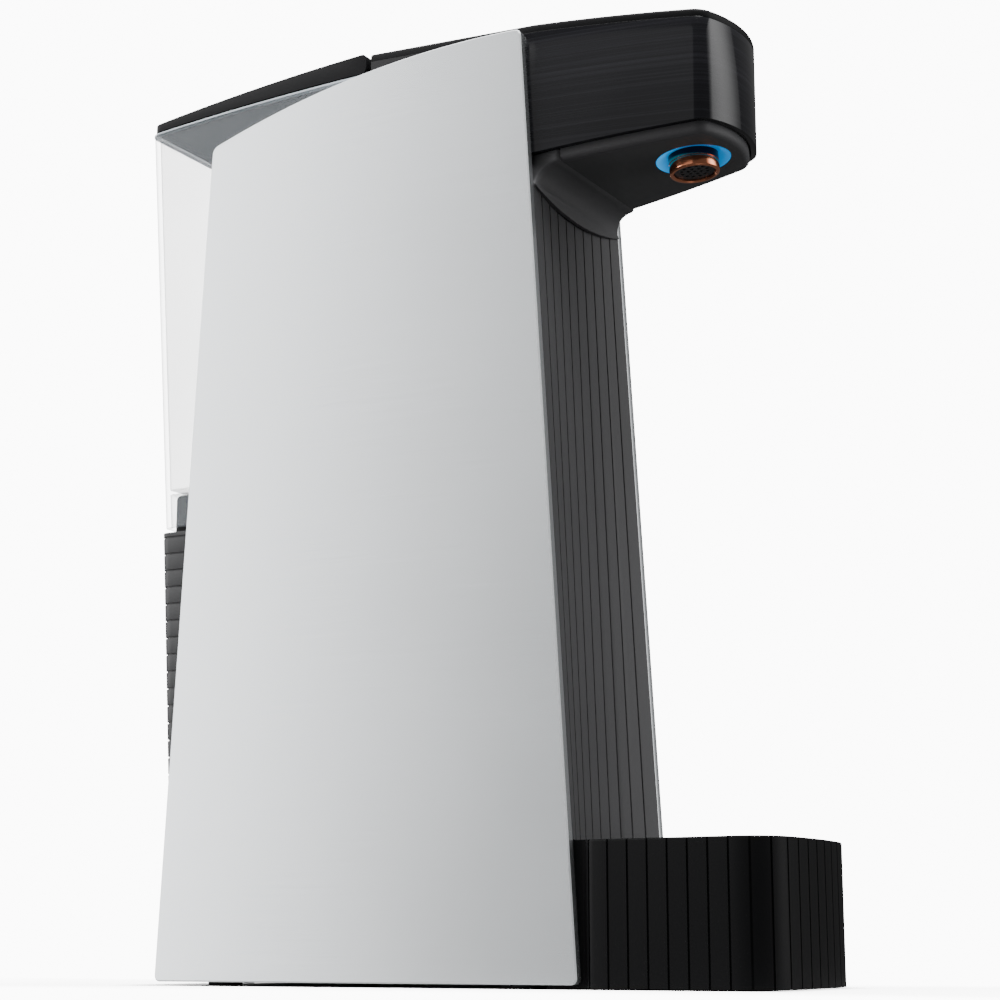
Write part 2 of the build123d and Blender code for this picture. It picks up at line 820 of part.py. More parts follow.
for name, x in zip(button_names, button_xs):
    with BuildPart() as button:
        with BuildSketch(cover_plane.offset(button_proud)):
            with Locations((x, 0)):
                Circle(button_radius)
        extrude(amount=-(button_proud + button_low))
        fillet(button.edges().group_by(Axis(cover_plane.origin, cover_plane.z_dir))[-1], 0.5)
        with BuildSketch(cover_plane.offset(-button_low)):
            with Locations((x, 0)):
                Circle(min(button_radius + button_flange_rim, (button_pitch - slide_gap) / 2))
        extrude(amount=-button_flange)
        with BuildSketch(cover_plane.offset(-button_low - button_flange)):
            with Locations((x, 0)):
                Circle(2.0)
        extrude(amount=-button_stem)
    button.part.label = f"button_{name}"
    export_step(button.part, f"parts/button_{name}.step")

plunger_top = button_low + button_flange + button_stem + button_travel + 0.25
with BuildPart() as button_switches:
    with BuildSketch(cover_plane.offset(-board_top)):
        with Locations(*[(x, 0) for x in button_xs]):
            Rectangle(6.0, 6.0)
    extrude(amount=1.2)
    with BuildSketch(cover_plane.offset(-board_top + 1.2)):
        with Locations(*[(x, 0) for x in button_xs]):
            Circle(1.7)
    extrude(amount=board_top - plunger_top - 1.2)
button_switches.part.label = "button_switches"
export_step(button_switches.part, "parts/button_switches.step")

with BuildPart() as control_board:
    with BuildSketch(cover_plane.offset(-board_top)):
        Rectangle(board_width, board_length)
        with Locations(*board_corners):
            Circle(1.2, mode=Mode.SUBTRACT)
    extrude(amount=-board_thick)
    with BuildSketch(cover_plane.offset(-board_top - board_thick)):
        with Locations((-8.0, -8.0), (9.0, 6.0)):
            Rectangle(12.0, 10.0)
    extrude(amount=-2.0)
control_board.part.label = "control_board"
export_step(control_board.part, "parts/control_board.step")

# ---------------------------------------------------------------------------
# Drip tray and its grate
# ---------------------------------------------------------------------------
grate_level = tray_top - grate_thick - 0.2
tray_outline = tray_plan(0.0)
ribbed_run = Wire(tray_outline.edges().sort_by(Axis.Y)[:-1])
first_groove = 7.0
rib_count = round((ribbed_run.length - 2 * first_groove) / tray_groove_pitch)
rib_step = (ribbed_run.length - 2 * first_groove) / rib_count
groove_places = [first_groove + i * rib_step for i in range(rib_count + 1)]

with BuildPart() as drip_tray:
    with BuildSketch(Plane.XY.offset(tray_lift)):
        add(tray_plan(0.0))
    extrude(amount=tray_top - tray_lift)
    fillet(drip_tray.edges().group_by(Axis.Z)[-1], 0.8)
    plug_start = front - tray_rear_radius
    with BuildSketch(Plane.XY.offset(tray_lift)):
        with Locations((0, (plug_start + pocket_back) / 2)):
            Rectangle(2 * (body_half - slide_gap), pocket_back - plug_start)
    extrude(amount=tray_top - tray_lift)
    with BuildSketch(Plane.XY.offset(base_top + slide_gap)):
        with Locations((0, (pocket_back - 1.0 + front + tray_tongue_depth) / 2)):
            Rectangle(tray_tongue_width, front + tray_tongue_depth - pocket_back + 1.0)
    extrude(amount=tray_tongue_top - base_top - slide_gap)
    for place in groove_places:
        spot = ribbed_run.position_at(place, position_mode=PositionMode.LENGTH)
        along = ribbed_run.tangent_at(place, position_mode=PositionMode.LENGTH)
        with BuildSketch(Plane(origin=(spot.X, spot.Y, tray_lift), x_dir=along, z_dir=(0, 0, 1))):
            Rectangle(groove_width, 2 * groove_depth)
    extrude(amount=tray_top - tray_lift - 1.4, mode=Mode.SUBTRACT)
    with BuildSketch(Plane.XY.offset(tray_floor_height)):
        add(tray_plan(tray_wall + tray_ledge))
    extrude(amount=tray_top, mode=Mode.SUBTRACT)
    with BuildSketch(Plane.XY.offset(grate_level - 0.3)):
        add(tray_plan(tray_wall))
    extrude(amount=tray_top, mode=Mode.SUBTRACT)
drip_tray.part.label = "drip_tray"
export_step(drip_tray.part, "parts/drip_tray.step")

with BuildPart() as drip_grate:
    with BuildSketch(mode=Mode.PRIVATE) as slots:
        add(tray_plan(tray_wall + 2.0 * tray_ledge + 2.0))
        with Locations((0, front - tray_reach / 2)):
            with GridLocations(grate_slot + grate_bar, 1.0, ceil(overall_width / grate_bar / 2) * 2 + 1, 1):
                Rectangle(grate_bar, 2 * tray_reach, mode=Mode.SUBTRACT)
            with GridLocations(1.0, tray_reach / 3, 1, 2):
                Rectangle(2 * overall_width, grate_bar, mode=Mode.SUBTRACT)
    with BuildSketch(Plane.XY.offset(grate_level)):
        add(tray_plan(tray_wall + slide_gap))
        add(slots.sketch, mode=Mode.SUBTRACT)
    extrude(amount=grate_thick)
drip_grate.part.label = "drip_grate"
export_step(drip_grate.part, "parts/drip_grate.step")

# ---------------------------------------------------------------------------
# Rear housing with the deck, the power inlet and the mains switch
# ---------------------------------------------------------------------------
socket_height = 32.0
socket_plane = Plane(
    origin=(0, housing_rear(socket_height), socket_height), x_dir=(-1, 0, 0), z_dir=(0, 1, -housing_lean)
)
inlet_x = 15.0
inlet_width = 27.0
inlet_height = 20.0
inlet_depth = 20.0
switch_x = -18.0
switch_width = 13.0
switch_height = 19.4
switch_depth = 15.0
cooler_z = 100.0
vent_count = 7
vent_pitch = 5.2
vent_slot = 2.4
dock_y = (bay + tank_rear(tank_bottom)) / 2
suction_x = 0.0
cold_feed_x = 14.0
cold_feed_y = dock_y - 24.0
housing_groove_count = int((deck_height - housing_plain_top - housing_plain_foot) / housing_groove_pitch) + 1

with BuildPart() as rear_housing:
    with BuildSketch(Plane.YZ):
        with BuildLine():
            Polyline(
                (frame_rear, foot_height),
                (housing_rear(foot_height), foot_height),
                (housing_rear(deck_height), deck_height),
                (frame_rear, deck_height),
                close=True,
            )
        make_face()
    extrude(amount=column_half, both=True)
    rear_edges = rear_housing.faces().sort_by(Axis.Y)[-1].edges().filter_by(Axis.X, reverse=True)
    fillet(rear_edges, housing_corner_radius)
    with BuildSketch(Plane.XY.offset(deck_bottom)):
        with Locations((0, (bay + frame_rear) / 2 + 0.5)):
            Rectangle(2 * column_half, frame_rear - bay + 1.0)
    extrude(amount=shelf_thick)
    with BuildSketch(Plane.YZ):
        with BuildLine():
            Polyline(
                (frame_rear - 1.0, foot_height - 1.0),
                (housing_rear(foot_height) - housing_wall, foot_height - 1.0),
                (housing_rear(deck_bottom) - housing_wall, deck_bottom),
                (frame_rear - 1.0, deck_bottom),
                close=True,
            )
        make_face()
    extrude(amount=column_half - housing_wall, both=True, mode=Mode.SUBTRACT)
    for i in range(housing_groove_count):
        level = deck_height - housing_plain_top - i * housing_groove_pitch
        reach = housing_rear(level) - groove_depth - frame_rear
        with BuildSketch(Plane.XY.offset(level)):
            with Locations((0, frame_rear + reach / 2)):
                Rectangle(3 * body_half, reach + 2 * housing_depth)
            with Locations((0, frame_rear + reach - housing_depth)):
                RectangleRounded(
                    2 * (column_half - groove_depth), 2 * housing_depth, housing_corner_radius - groove_depth,
                    mode=Mode.SUBTRACT,
                )
            with Locations((0, frame_rear - housing_depth)):
                Rectangle(3 * body_half, 2 * housing_depth, mode=Mode.SUBTRACT)
        extrude(amount=-groove_width, mode=Mode.SUBTRACT)
    with BuildSketch(Plane.XZ.offset(-(frame_rear + housing_depth / 2))):
        with Locations((0, cooler_z)):
            with GridLocations(1.0, vent_pitch, 1, vent_count):
                SlotOverall(cooler_size, vent_slot)
    extrude(amount=-2 * housing_depth, mode=Mode.SUBTRACT)
    with BuildSketch(socket_plane):
        with Locations((-inlet_x, 0)):
            Rectangle(inlet_width + 2 * body_gap, inlet_height + 2 * body_gap)
        with Locations((-switch_x, 0)):
            Rectangle(switch_width + 2 * body_gap, switch_height + 2 * body_gap)
    extrude(amount=housing_depth / 2, both=True, mode=Mode.SUBTRACT)
    with BuildSketch(Plane.XY.offset(deck_bottom)):
        with Locations((suction_x, dock_y), (cold_feed_x, cold_feed_y)):
            Circle(tube_radius + body_gap)
    extrude(amount=shelf_thick, mode=Mode.SUBTRACT)
rear_housing.part.label = "rear_housing"
export_step(rear_housing.part, "parts/rear_housing.step")

inlet_flange = 2.0
socket_wall = 1.6
socket_depth = 15.0
with BuildPart() as power_inlet:
    with BuildSketch(socket_plane):
        with Locations((-inlet_x, 0)):
            Rectangle(inlet_width + 5.0, inlet_height + 5.0)
    extrude(amount=inlet_flange)
    fillet(power_inlet.edges().filter_by(Axis(socket_plane.origin, socket_plane.z_dir)), 2.0)
    with BuildSketch(socket_plane):
        with Locations((-inlet_x, 0)):
            Rectangle(inlet_width, inlet_height)
    extrude(amount=-inlet_depth)
    with BuildSketch(socket_plane.offset(inlet_flange)) as mouth:
        with Locations((-inlet_x, 0)):
            Rectangle(inlet_width - 2 * socket_wall, inlet_height - 2 * socket_wall)
        chamfer(mouth.vertices().group_by(Axis.Y)[-1], 4.0)
    extrude(amount=-(inlet_flange + socket_depth), mode=Mode.SUBTRACT)
power_inlet.part.label = "power_inlet"
export_step(power_inlet.part, "parts/power_inlet.step")

pin_blade = (2.0, 4.0)
pin_length = 13.0
with BuildPart() as inlet_pins:
    with BuildSketch(socket_plane.offset(-socket_depth)):
        with Locations((-inlet_x - 7.0, -2.5), (-inlet_x, -5.0), (-inlet_x + 7.0, -2.5)):
            Rectangle(*pin_blade)
    extrude(amount=pin_length)
inlet_pins.part.label = "inlet_pins"
export_step(inlet_pins.part, "parts/inlet_pins.step")

switch_wall = 1.3
rocker_height = switch_height - 2 * switch_wall - 1.8
rocker_width = switch_width - 2 * switch_wall - 2 * slide_gap
rocker_swing = 8.0           # degrees each way from the middle
rocker_pivot = -2.0          # below the wall's outer face
switch_pocket = 9.5
with BuildPart() as switch_housing:
    with BuildSketch(socket_plane):
        with Locations((-switch_x, 0)):
            Rectangle(switch_width + 3.0, switch_height + 3.0)
    extrude(amount=inlet_flange - 0.6)
    with BuildSketch(socket_plane):
        with Locations((-switch_x, 0)):
            Rectangle(switch_width, switch_height)
    extrude(amount=-switch_depth)
    with BuildSketch(socket_plane.offset(inlet_flange)):
        with Locations((-switch_x, 0)):
            Rectangle(switch_width - 2 * switch_wall, switch_height - 2 * switch_wall)
    extrude(amount=-(inlet_flange + switch_pocket), mode=Mode.SUBTRACT)
switch_housing.part.label = "switch_housing"
export_step(switch_housing.part, "parts/switch_housing.step")

# The rocker is drawn in the middle of its swing about its own pivot, then turned to off
pivot_point = socket_plane.from_local_coords((-switch_x, 0, rocker_pivot))
rocker_plane = Plane(origin=pivot_point, x_dir=socket_plane.x_dir, z_dir=socket_plane.z_dir)
rocker_plane = rocker_plane.rotated((-rocker_swing, 0, 0))
rocker_section = Plane(
    origin=rocker_plane.origin - rocker_plane.x_dir * rocker_width / 2,
    x_dir=rocker_plane.y_dir,
    z_dir=rocker_plane.x_dir,
)
with BuildPart() as rocker_switch:
    with BuildSketch(rocker_section):
        with BuildLine():
            Polyline(
                (-rocker_height / 2, -2.5),
                (-rocker_height / 2, 3.6),
                (0, 2.6),
                (rocker_height / 2, 3.6),
                (rocker_height / 2, -2.5),
                (0, -5.0),
                close=True,
            )
        make_face()
    extrude(amount=rocker_width)
rocker_switch.part.label = "rocker_switch"
export_step(rocker_switch.part, "parts/rocker_switch.step")

# ---------------------------------------------------------------------------
# Tank: its dock and seal on the deck, the tank itself, its valve, lid and hinge
# ---------------------------------------------------------------------------
well_radius = spigot_radius + slide_gap
well_depth = dock_height - 3.0
seal_depth = 2.0
seal_radius = spigot_radius + 2.4
spigot_y = dock_y
with BuildPart() as tank_dock:
    with BuildSketch(Plane.XY.offset(deck_height)):
        with Locations((0, dock_y)):
            RectangleRounded(dock_width, dock_length, dock_corner_radius)
    extrude(amount=dock_height)
    fillet(tank_dock.edges().group_by(Axis.Z)[-1], 2.0)
    with BuildSketch(Plane.XY.offset(deck_height)):
        with Locations((suction_x, dock_y), (cold_feed_x, cold_feed_y)):
            Circle(tube_radius + body_gap)
    extrude(amount=dock_height, mode=Mode.SUBTRACT)
    with BuildSketch(Plane.XY.offset(deck_height + dock_height)):
        with Locations((0, spigot_y)):
            Circle(well_radius)
    extrude(amount=-well_depth, mode=Mode.SUBTRACT)
    with BuildSketch(Plane.XY.offset(deck_height + dock_height)):
        with Locations((0, spigot_y)):
            Circle(seal_radius)
    extrude(amount=-seal_depth, mode=Mode.SUBTRACT)
tank_dock.part.label = "tank_dock"
export_step(tank_dock.part, "parts/tank_dock.step")

with BuildPart() as dock_seal:
    with BuildSketch(Plane.XY.offset(deck_height + dock_height - seal_depth)):
        with Locations((0, spigot_y)):
            Circle(seal_radius - 0.05)
            Circle(well_radius, mode=Mode.SUBTRACT)
    extrude(amount=seal_depth - 0.2)
dock_seal.part.label = "dock_seal"
export_step(dock_seal.part, "parts/dock_seal.step")


def tank_block(inset, low, high_cut):
    """The tank's solid form, set in by inset, with rounded upright corners."""
    with BuildPart() as form:
        with BuildSketch(Plane.YZ):
            add(tank_side(inset, low, high_cut))
        extrude(amount=tank_half - inset, both=True)
        upright = form.edges().filter_by(lambda edge: edge.bounding_box().size.Z > deck_height / 2)
        fillet(upright, tank_corner_radius - inset)
    return form.part


def skirt_space():
    """The hollow under the tank's floor, inside its skirt."""
    with BuildPart() as form:
        add(tank_block(tank_wall, tank_bottom - 1.0, 0.0))
        with BuildSketch(Plane.XY.offset(tank_bottom - 1.0)):
            with Locations((0, dock_y)):
                Rectangle(overall_width, overall_depth)
        extrude(amount=tank_skirt - tank_floor_thick + 1.0, mode=Mode.INTERSECT)
    return form.part


hinge_y = lid_front + hinge_back
hinge_z = overall_height - hinge_down
spigot_bottom = deck_height + dock_height - well_depth + 2.0
ear_foot = tank_rim_front - 7.0

with BuildPart() as tank_body:
    add(tank_block(0.0, tank_bottom, 0.0))
    add(tank_block(tank_wall, tank_floor, -3.0), mode=Mode.SUBTRACT)
    add(skirt_space(), mode=Mode.SUBTRACT)
    with BuildSketch(Plane.XY.offset(tank_floor - 1.0)):
        with Locations((0, spigot_y)):
            Circle(spigot_radius)
    extrude(amount=-(tank_floor - 1.0 - spigot_bottom))
    with BuildSketch(Plane.XY.offset(tank_floor)):
        with Locations((0, spigot_y)):
            Circle(spigot_radius - tank_wall)
    extrude(amount=-(tank_floor - spigot_bottom), mode=Mode.SUBTRACT)
    for sign in (-1, 1):
        with BuildSketch(Plane.YZ.offset(sign * hinge_offset - hinge_ear_thick / 2)):
            with Locations((hinge_y, hinge_z)):
                Circle(hinge_ear_radius)
            with Locations((hinge_y, (hinge_z + ear_foot) / 2)):
                Rectangle(2 * hinge_ear_radius, hinge_z - ear_foot)
        extrude(amount=hinge_ear_thick)
        with BuildSketch(Plane.YZ.offset(sign * hinge_offset - hinge_ear_thick / 2)):
            with Locations((hinge_y, hinge_z)):
                Circle(hinge_pin_radius + pin_gap)
        extrude(amount=hinge_ear_thick, mode=Mode.SUBTRACT)
tank_body.part.label = "tank_body"
export_step(tank_body.part, "parts/tank_body.step")

with BuildPart() as tank_valve:
    with BuildSketch(Plane.XY.offset(tank_floor)):
        with Locations((0, spigot_y)):
            Circle(spigot_radius + 1.5)
    extrude(amount=1.8)
    with BuildSketch(Plane.XY.offset(tank_floor)):
        with Locations((0, spigot_y)):
            Circle(2.0)
    extrude(amount=-(tank_floor - spigot_bottom - 1.0))
tank_valve.part.label = "tank_valve"
export_step(tank_valve.part, "parts/tank_valve.step")

lid_low_front = overall_height - tank_rim_drop
lid_low_rear = lid_low_front - tank_rim_fall
lid_back = back - lid_rear_inset
lid_top_rear = overall_height - lid_rear_drop
lid_middle = (lid_front + lid_back) / 2
lid_half = column_half
notch_width = hinge_ear_thick + 2 * slide_gap + 0.1
pocket_front = hinge_y + hinge_ear_radius + 3.0

with BuildPart() as tank_lid:
    with BuildSketch(Plane.YZ):
        with BuildLine():
            Line((lid_front, lid_low_front), (lid_front, overall_height))
            ThreePointArc(
                (lid_front, overall_height),
                (lid_middle, (overall_height + lid_top_rear) / 2 + lid_bow),
                (lid_back, lid_top_rear),
            )
            Line((lid_back, lid_top_rear), (lid_back, lid_low_rear))
            ThreePointArc(
                (lid_back, lid_low_rear),
                (lid_middle, (lid_low_front + lid_low_rear) / 2 + tank_rim_bow),
                (lid_front, lid_low_front),
            )
        make_face()
    extrude(amount=lid_half, both=True)
    rear_corners = tank_lid.edges().filter_by(Axis.Z).group_by(Axis.Y)[-1]
    fillet(rear_corners, tank_corner_radius - lid_rear_inset)
    front_edges = tank_lid.faces().sort_by(Axis.Y)[0].edges().filter_by(Axis.X)
    fillet(front_edges, lid_front_radius)
    with BuildSketch(Plane.YZ):
        with BuildLine():
            Polyline(
                (pocket_front, lid_low_rear - 2.0),
                (pocket_front, overall_height - lid_skin - 0.6),
            )
            ThreePointArc(
                (pocket_front, overall_height - lid_skin - 0.6),
                (lid_middle, (overall_height + lid_top_rear) / 2 + lid_bow - lid_skin),
                (lid_back - 3.0, lid_top_rear - lid_skin + 0.3),
            )
            Polyline(
                (lid_back - 3.0, lid_top_rear - lid_skin + 0.3),
                (lid_back - 3.0, lid_low_rear - 2.0),
                (pocket_front, lid_low_rear - 2.0),
            )
        make_face()
    extrude(amount=lid_half - 3.0, both=True, mode=Mode.SUBTRACT)
    for sign in (-1, 1):
        with BuildSketch(Plane.YZ.offset(sign * hinge_offset - notch_width / 2)):
            with Locations((hinge_y, hinge_z)):
                Circle(hinge_ear_radius + slide_gap)
            with Locations(((lid_front + hinge_y) / 2 + 1.0, hinge_z - 3.0)):
                Rectangle(hinge_back + 2.0 + 2 * hinge_ear_radius, 2 * hinge_ear_radius + 6.6)
        extrude(amount=notch_width, mode=Mode.SUBTRACT)
        with BuildSketch(Plane.YZ.offset(sign * hinge_offset - hinge_pin_length / 2)):
            with Locations((hinge_y, hinge_z)):
                Circle(hinge_pin_radius + 0.02)
        extrude(amount=hinge_pin_length, mode=Mode.SUBTRACT)
tank_lid.part.label = "tank_lid"
export_step(tank_lid.part, "parts/tank_lid.step")

with BuildPart() as hinge_pins:
    for sign in (-1, 1):
        with BuildSketch(Plane.YZ.offset(sign * hinge_offset - hinge_pin_length / 2)):
            with Locations((hinge_y, hinge_z)):
                Circle(hinge_pin_radius)
        extrude(amount=hinge_pin_length)
hinge_pins.part.label = "hinge_pins"
export_step(hinge_pins.part, "parts/hinge_pins.step")

# ---------------------------------------------------------------------------
# Cooling: stand, cold tank, thermoelectric plate, heatsink, fan
# ---------------------------------------------------------------------------
fan_back = housing_rear(cooler_z) - housing_wall - 4.0
fan_front = fan_back - fan_thick
heatsink_front = fan_front - heatsink_depth
cold_back = heatsink_front - peltier_thick
cold_y = cold_back - cold_depth / 2
cold_low = base_top + cold_stand_height

with BuildPart() as cold_stand:
    with BuildSketch(Plane.XZ.offset(-cold_back)):
        with Locations((0, base_top + cold_stand_height / 2)):
            Rectangle(cold_width, cold_stand_height)
        with Locations((0, base_top + (cold_stand_height - frame_thick) / 2)):
            Rectangle(cold_width - 2 * frame_thick, cold_stand_height - frame_thick, mode=Mode.SUBTRACT)
    extrude(amount=cold_depth)
cold_stand.part.label = "cold_stand"
export_step(cold_stand.part, "parts/cold_stand.step")

with BuildPart() as cold_tank:
    with BuildSketch(Plane.XY.offset(cold_low)):
        with Locations((0, cold_y)):
            Rectangle(cold_width, cold_depth)
    extrude(amount=cold_height)
    fillet(cold_tank.edges().filter_by(Axis.Z), 4.0)
cold_tank.part.label = "cold_tank"
export_step(cold_tank.part, "parts/cold_tank.step")

with BuildPart() as peltier_plate:
    with BuildSketch(Plane.XZ.offset(-(cold_back + peltier_thick))):
        with Locations((0, cooler_z)):
            Rectangle(cooler_size, cooler_size)
    extrude(amount=peltier_thick)
peltier_plate.part.label = "peltier_plate"
export_step(peltier_plate.part, "parts/peltier_plate.step")

fin_pitch = cooler_size / heatsink_fins
fin_base = 4.0
with BuildPart() as heatsink:
    with BuildSketch(Plane.XZ.offset(-(heatsink_front + fin_base))):
        with Locations((0, cooler_z)):
            Rectangle(cooler_size, cooler_size)
    extrude(amount=fin_base)
    with BuildSketch(Plane.XZ.offset(-fan_front)):
        with Locations((0, cooler_z)):
            with GridLocations(fin_pitch, 1.0, heatsink_fins, 1):
                Rectangle(fin_pitch * 0.4, cooler_size)
    extrude(amount=heatsink_depth)
heatsink.part.label = "heatsink"
export_step(heatsink.part, "parts/heatsink.step")

shaft_length = fan_thick - 3.0
with BuildPart() as fan_frame:
    with BuildSketch(Plane.XZ.offset(-fan_back)):
        with Locations((0, cooler_z)):
            RectangleRounded(cooler_size, cooler_size, 3.0)
            Circle(fan_bore, mode=Mode.SUBTRACT)
    extrude(amount=fan_thick)
    with BuildSketch(Plane.XZ.offset(-fan_back)):
        with Locations((0, cooler_z)):
            Circle(rotor_hub_radius)
            with PolarLocations((rotor_hub_radius + fan_bore) / 2, 3):
                Rectangle(fan_bore - rotor_hub_radius + 3.0, 2.4)
    extrude(amount=1.6)
    with BuildSketch(Plane.XZ.offset(-fan_back)):
        with Locations((0, cooler_z)):
            Circle(fan_shaft_radius)
    extrude(amount=shaft_length)
fan_frame.part.label = "fan_frame"
export_step(fan_frame.part, "parts/fan_frame.step")

rotor_depth = 6.4
rotor_back = fan_back - 2.0
with BuildPart(Plane(origin=(0, rotor_back - rotor_depth / 2, cooler_z), z_dir=(0, 1, 0))) as fan_rotor:
    Cylinder(rotor_hub_radius, rotor_depth)
    with PolarLocations((rotor_hub_radius + rotor_radius) / 2, rotor_blades):
        Box(rotor_radius - rotor_hub_radius + 0.8, 1.2, rotor_depth, rotation=(35, 0, 0))
    Cylinder(fan_shaft_radius + pin_gap, 2 * rotor_depth, mode=Mode.SUBTRACT)
fan_rotor.part.label = "fan_rotor"
export_step(fan_rotor.part, "parts/fan_rotor.step")

# ---------------------------------------------------------------------------
# Pump, heater, filter and power supply
# ---------------------------------------------------------------------------
pump_y = front + 44.0        # front of the pump's motor
pump_head_y = pump_y + pump_motor_length
pump_z = base_top + pump_axis_height
with BuildPart() as pump:
    with BuildSketch(Plane.XZ.offset(-(pump_head_y))):
        with Locations((0, pump_z)):
            Circle(pump_motor_radius)
    extrude(amount=pump_motor_length)
    with BuildSketch(Plane.XZ.offset(-(pump_head_y + pump_head_length))):
        with Locations((0, pump_z)):
            Circle(pump_head_radius)
    extrude(amount=pump_head_length)
    fillet(pump.edges().group_by(Axis.Y)[0], 2.0)
pump.part.label = "pump"
export_step(pump.part, "parts/pump.step")

with BuildPart() as pump_mount:
    with BuildSketch(Plane.XZ.offset(-(pump_head_y - 4.0))):
        with Locations((0, base_top + pump_axis_height / 2)):
            Rectangle(2 * pump_motor_radius + 4.0, pump_axis_height)
        with Locations((0, pump_z)):
            Circle(pump_motor_radius + body_gap, mode=Mode.SUBTRACT)
    extrude(amount=pump_motor_length - 8.0)
pump_mount.part.label = "pump_mount"
export_step(pump_mount.part, "parts/pump_mount.step")

heater_y = front + 40.0      # front of the heater
with BuildPart() as flow_heater:
    with BuildSketch(Plane.XZ.offset(-(heater_y + heater_length))):
        with Locations((0, heater_z)):
            Circle(heater_radius)
    extrude(amount=heater_length)
    fillet(flow_heater.edges(), 3.0)
flow_heater.part.label = "flow_heater"
export_step(flow_heater.part, "parts/flow_heater.step")

hanger_thick = 3.0
with BuildPart() as heater_hanger:
    with BuildSketch(Plane.XZ.offset(-(heater_y + heater_length / 2 + 8.0))):
        with Locations((0, heater_z)):
            Circle(heater_radius + body_gap + hanger_thick)
        with Locations((0, (heater_z + deck_bottom) / 2)):
            Rectangle(2 * hanger_thick, deck_bottom - heater_z)
        with Locations((0, deck_bottom - hanger_thick / 2)):
            Rectangle(heater_radius, hanger_thick)
        with Locations((0, heater_z)):
            Circle(heater_radius + body_gap, mode=Mode.SUBTRACT)
    extrude(amount=16.0)
heater_hanger.part.label = "heater_hanger"
export_step(heater_hanger.part, "parts/heater_hanger.step")

seat_height = 8.0
filter_seat_rim = 2.0
with BuildPart() as filter_seat:
    with BuildSketch(Plane.XY.offset(deck_height)):
        with Locations((0, filter_y)):
            Circle(filter_radius + filter_seat_rim)
        with Locations((filter_feed_x, filter_y)):
            Circle(tube_bore, mode=Mode.SUBTRACT)
    extrude(amount=seat_height)
    with BuildSketch(Plane.XY.offset(deck_height + seat_height)):
        with Locations((0, filter_y)):
            Circle(filter_radius + body_gap)
    extrude(amount=-seat_height / 2, mode=Mode.SUBTRACT)
filter_seat.part.label = "filter_seat"
export_step(filter_seat.part, "parts/filter_seat.step")

filter_low = deck_height + seat_height / 2
with BuildPart() as filter_cartridge:
    with BuildSketch(Plane.XY.offset(filter_low)):
        with Locations((0, filter_y)):
            Circle(filter_radius)
    extrude(amount=filter_height)
    fillet(filter_cartridge.edges(), 3.0)
filter_cartridge.part.label = "filter_cartridge"
export_step(filter_cartridge.part, "parts/filter_cartridge.step")

supply_width = cold_width - 2 * frame_thick - 4.0
supply_lift = 4.0
supply_y = cold_y
with BuildPart() as power_supply:
    with BuildSketch(Plane.XY.offset(base_top)):
        with Locations((0, supply_y)):
            with GridLocations(supply_width - 8.0, cold_depth - 8.0, 2, 2):
                Circle(2.5)
    extrude(amount=supply_lift)
    with BuildSketch(Plane.XY.offset(base_top + supply_lift)):
        with Locations((0, supply_y)):
            Rectangle(supply_width, cold_depth)
    extrude(amount=1.6)
    with BuildSketch(Plane.XY.offset(base_top + supply_lift + 1.6)):
        with Locations((-9.0, supply_y), (12.0, supply_y + 8.0), (12.0, supply_y - 10.0)):
            Rectangle(14.0, 14.0)
    extrude(amount=20.0)
power_supply.part.label = "power_supply"
export_step(power_supply.part, "parts/power_supply.step")

# ---------------------------------------------------------------------------
# Water tubes
# ---------------------------------------------------------------------------
bend = 8.0
side_x = inner_half - tube_radius - 2.0
high_run = deck_bottom - 14.5
pump_side_y = pump_head_y + pump_head_length / 2
suction_tube = hose(
    [
        (suction_x, dock_y, deck_bottom + 1.0),
        (suction_x, dock_y, high_run),
        (side_x, dock_y, high_run),
        (side_x, pump_side_y, high_run),
        (side_x, pump_side_y, pump_z),
        (pump_head_radius, pump_side_y, pump_z),
    ],
    bend * 0.7,
)
suction_tube.label = "tube_tank_to_pump"
export_step(suction_tube, "parts/tube_tank_to_pump.step")

heater_back = heater_y + heater_length
gap_y = (pump_head_y + pump_head_length + cold_back - cold_depth) / 2
heater_feed = hose(
    [
        (0, pump_side_y, pump_z + pump_head_radius),
        (0, pump_side_y, pump_z + pump_head_radius + 20.0),
        (0, gap_y, pump_z + pump_head_radius + 32.0),
        (0, gap_y, heater_z),
        (0, heater_back, heater_z),
    ],
    2.2 * tube_bore,
)
heater_feed.label = "tube_pump_to_heater"
export_step(heater_feed, "parts/tube_pump_to_heater.step")

end_gap = tube_radius * head_rise     # tube ends stand off the leaning faces by this much
valve_back = valve_plane.from_local_coords((0, valve_length / 2, valve_height / 2))
hot_z = valve_back.Z
hot_tube = hose(
    [
        (0, heater_y, heater_z),
        (0, riser_y, heater_z),
        (0, riser_y, hot_z),
        (0, valve_back.Y + end_gap, hot_z),
    ],
    bend * 0.7,
)
hot_tube.label = "tube_heater_to_valve"
export_step(hot_tube, "parts/tube_heater_to_valve.step")

cold_tube = rod(
    tube_radius,
    (cold_feed_x, cold_feed_y, cold_low + cold_height),
    (cold_feed_x, cold_feed_y, deck_bottom),
    tube_bore,
)
cold_tube.label = "tube_tank_to_cooler"
export_step(cold_tube, "parts/tube_tank_to_cooler.step")

filter_run = deck_bottom - 9.0
cooler_exit_y = cold_y - 8.0
filter_tube = hose(
    [
        (filter_feed_x, cooler_exit_y, cold_low + cold_height),
        (filter_feed_x, cooler_exit_y, filter_run),
        (filter_feed_x, filter_y, filter_run),
        (filter_feed_x, filter_y, deck_height),
    ],
    bend * 0.7,
)
filter_tube.label = "tube_cooler_to_filter"
export_step(filter_tube, "parts/tube_cooler_to_filter.step")

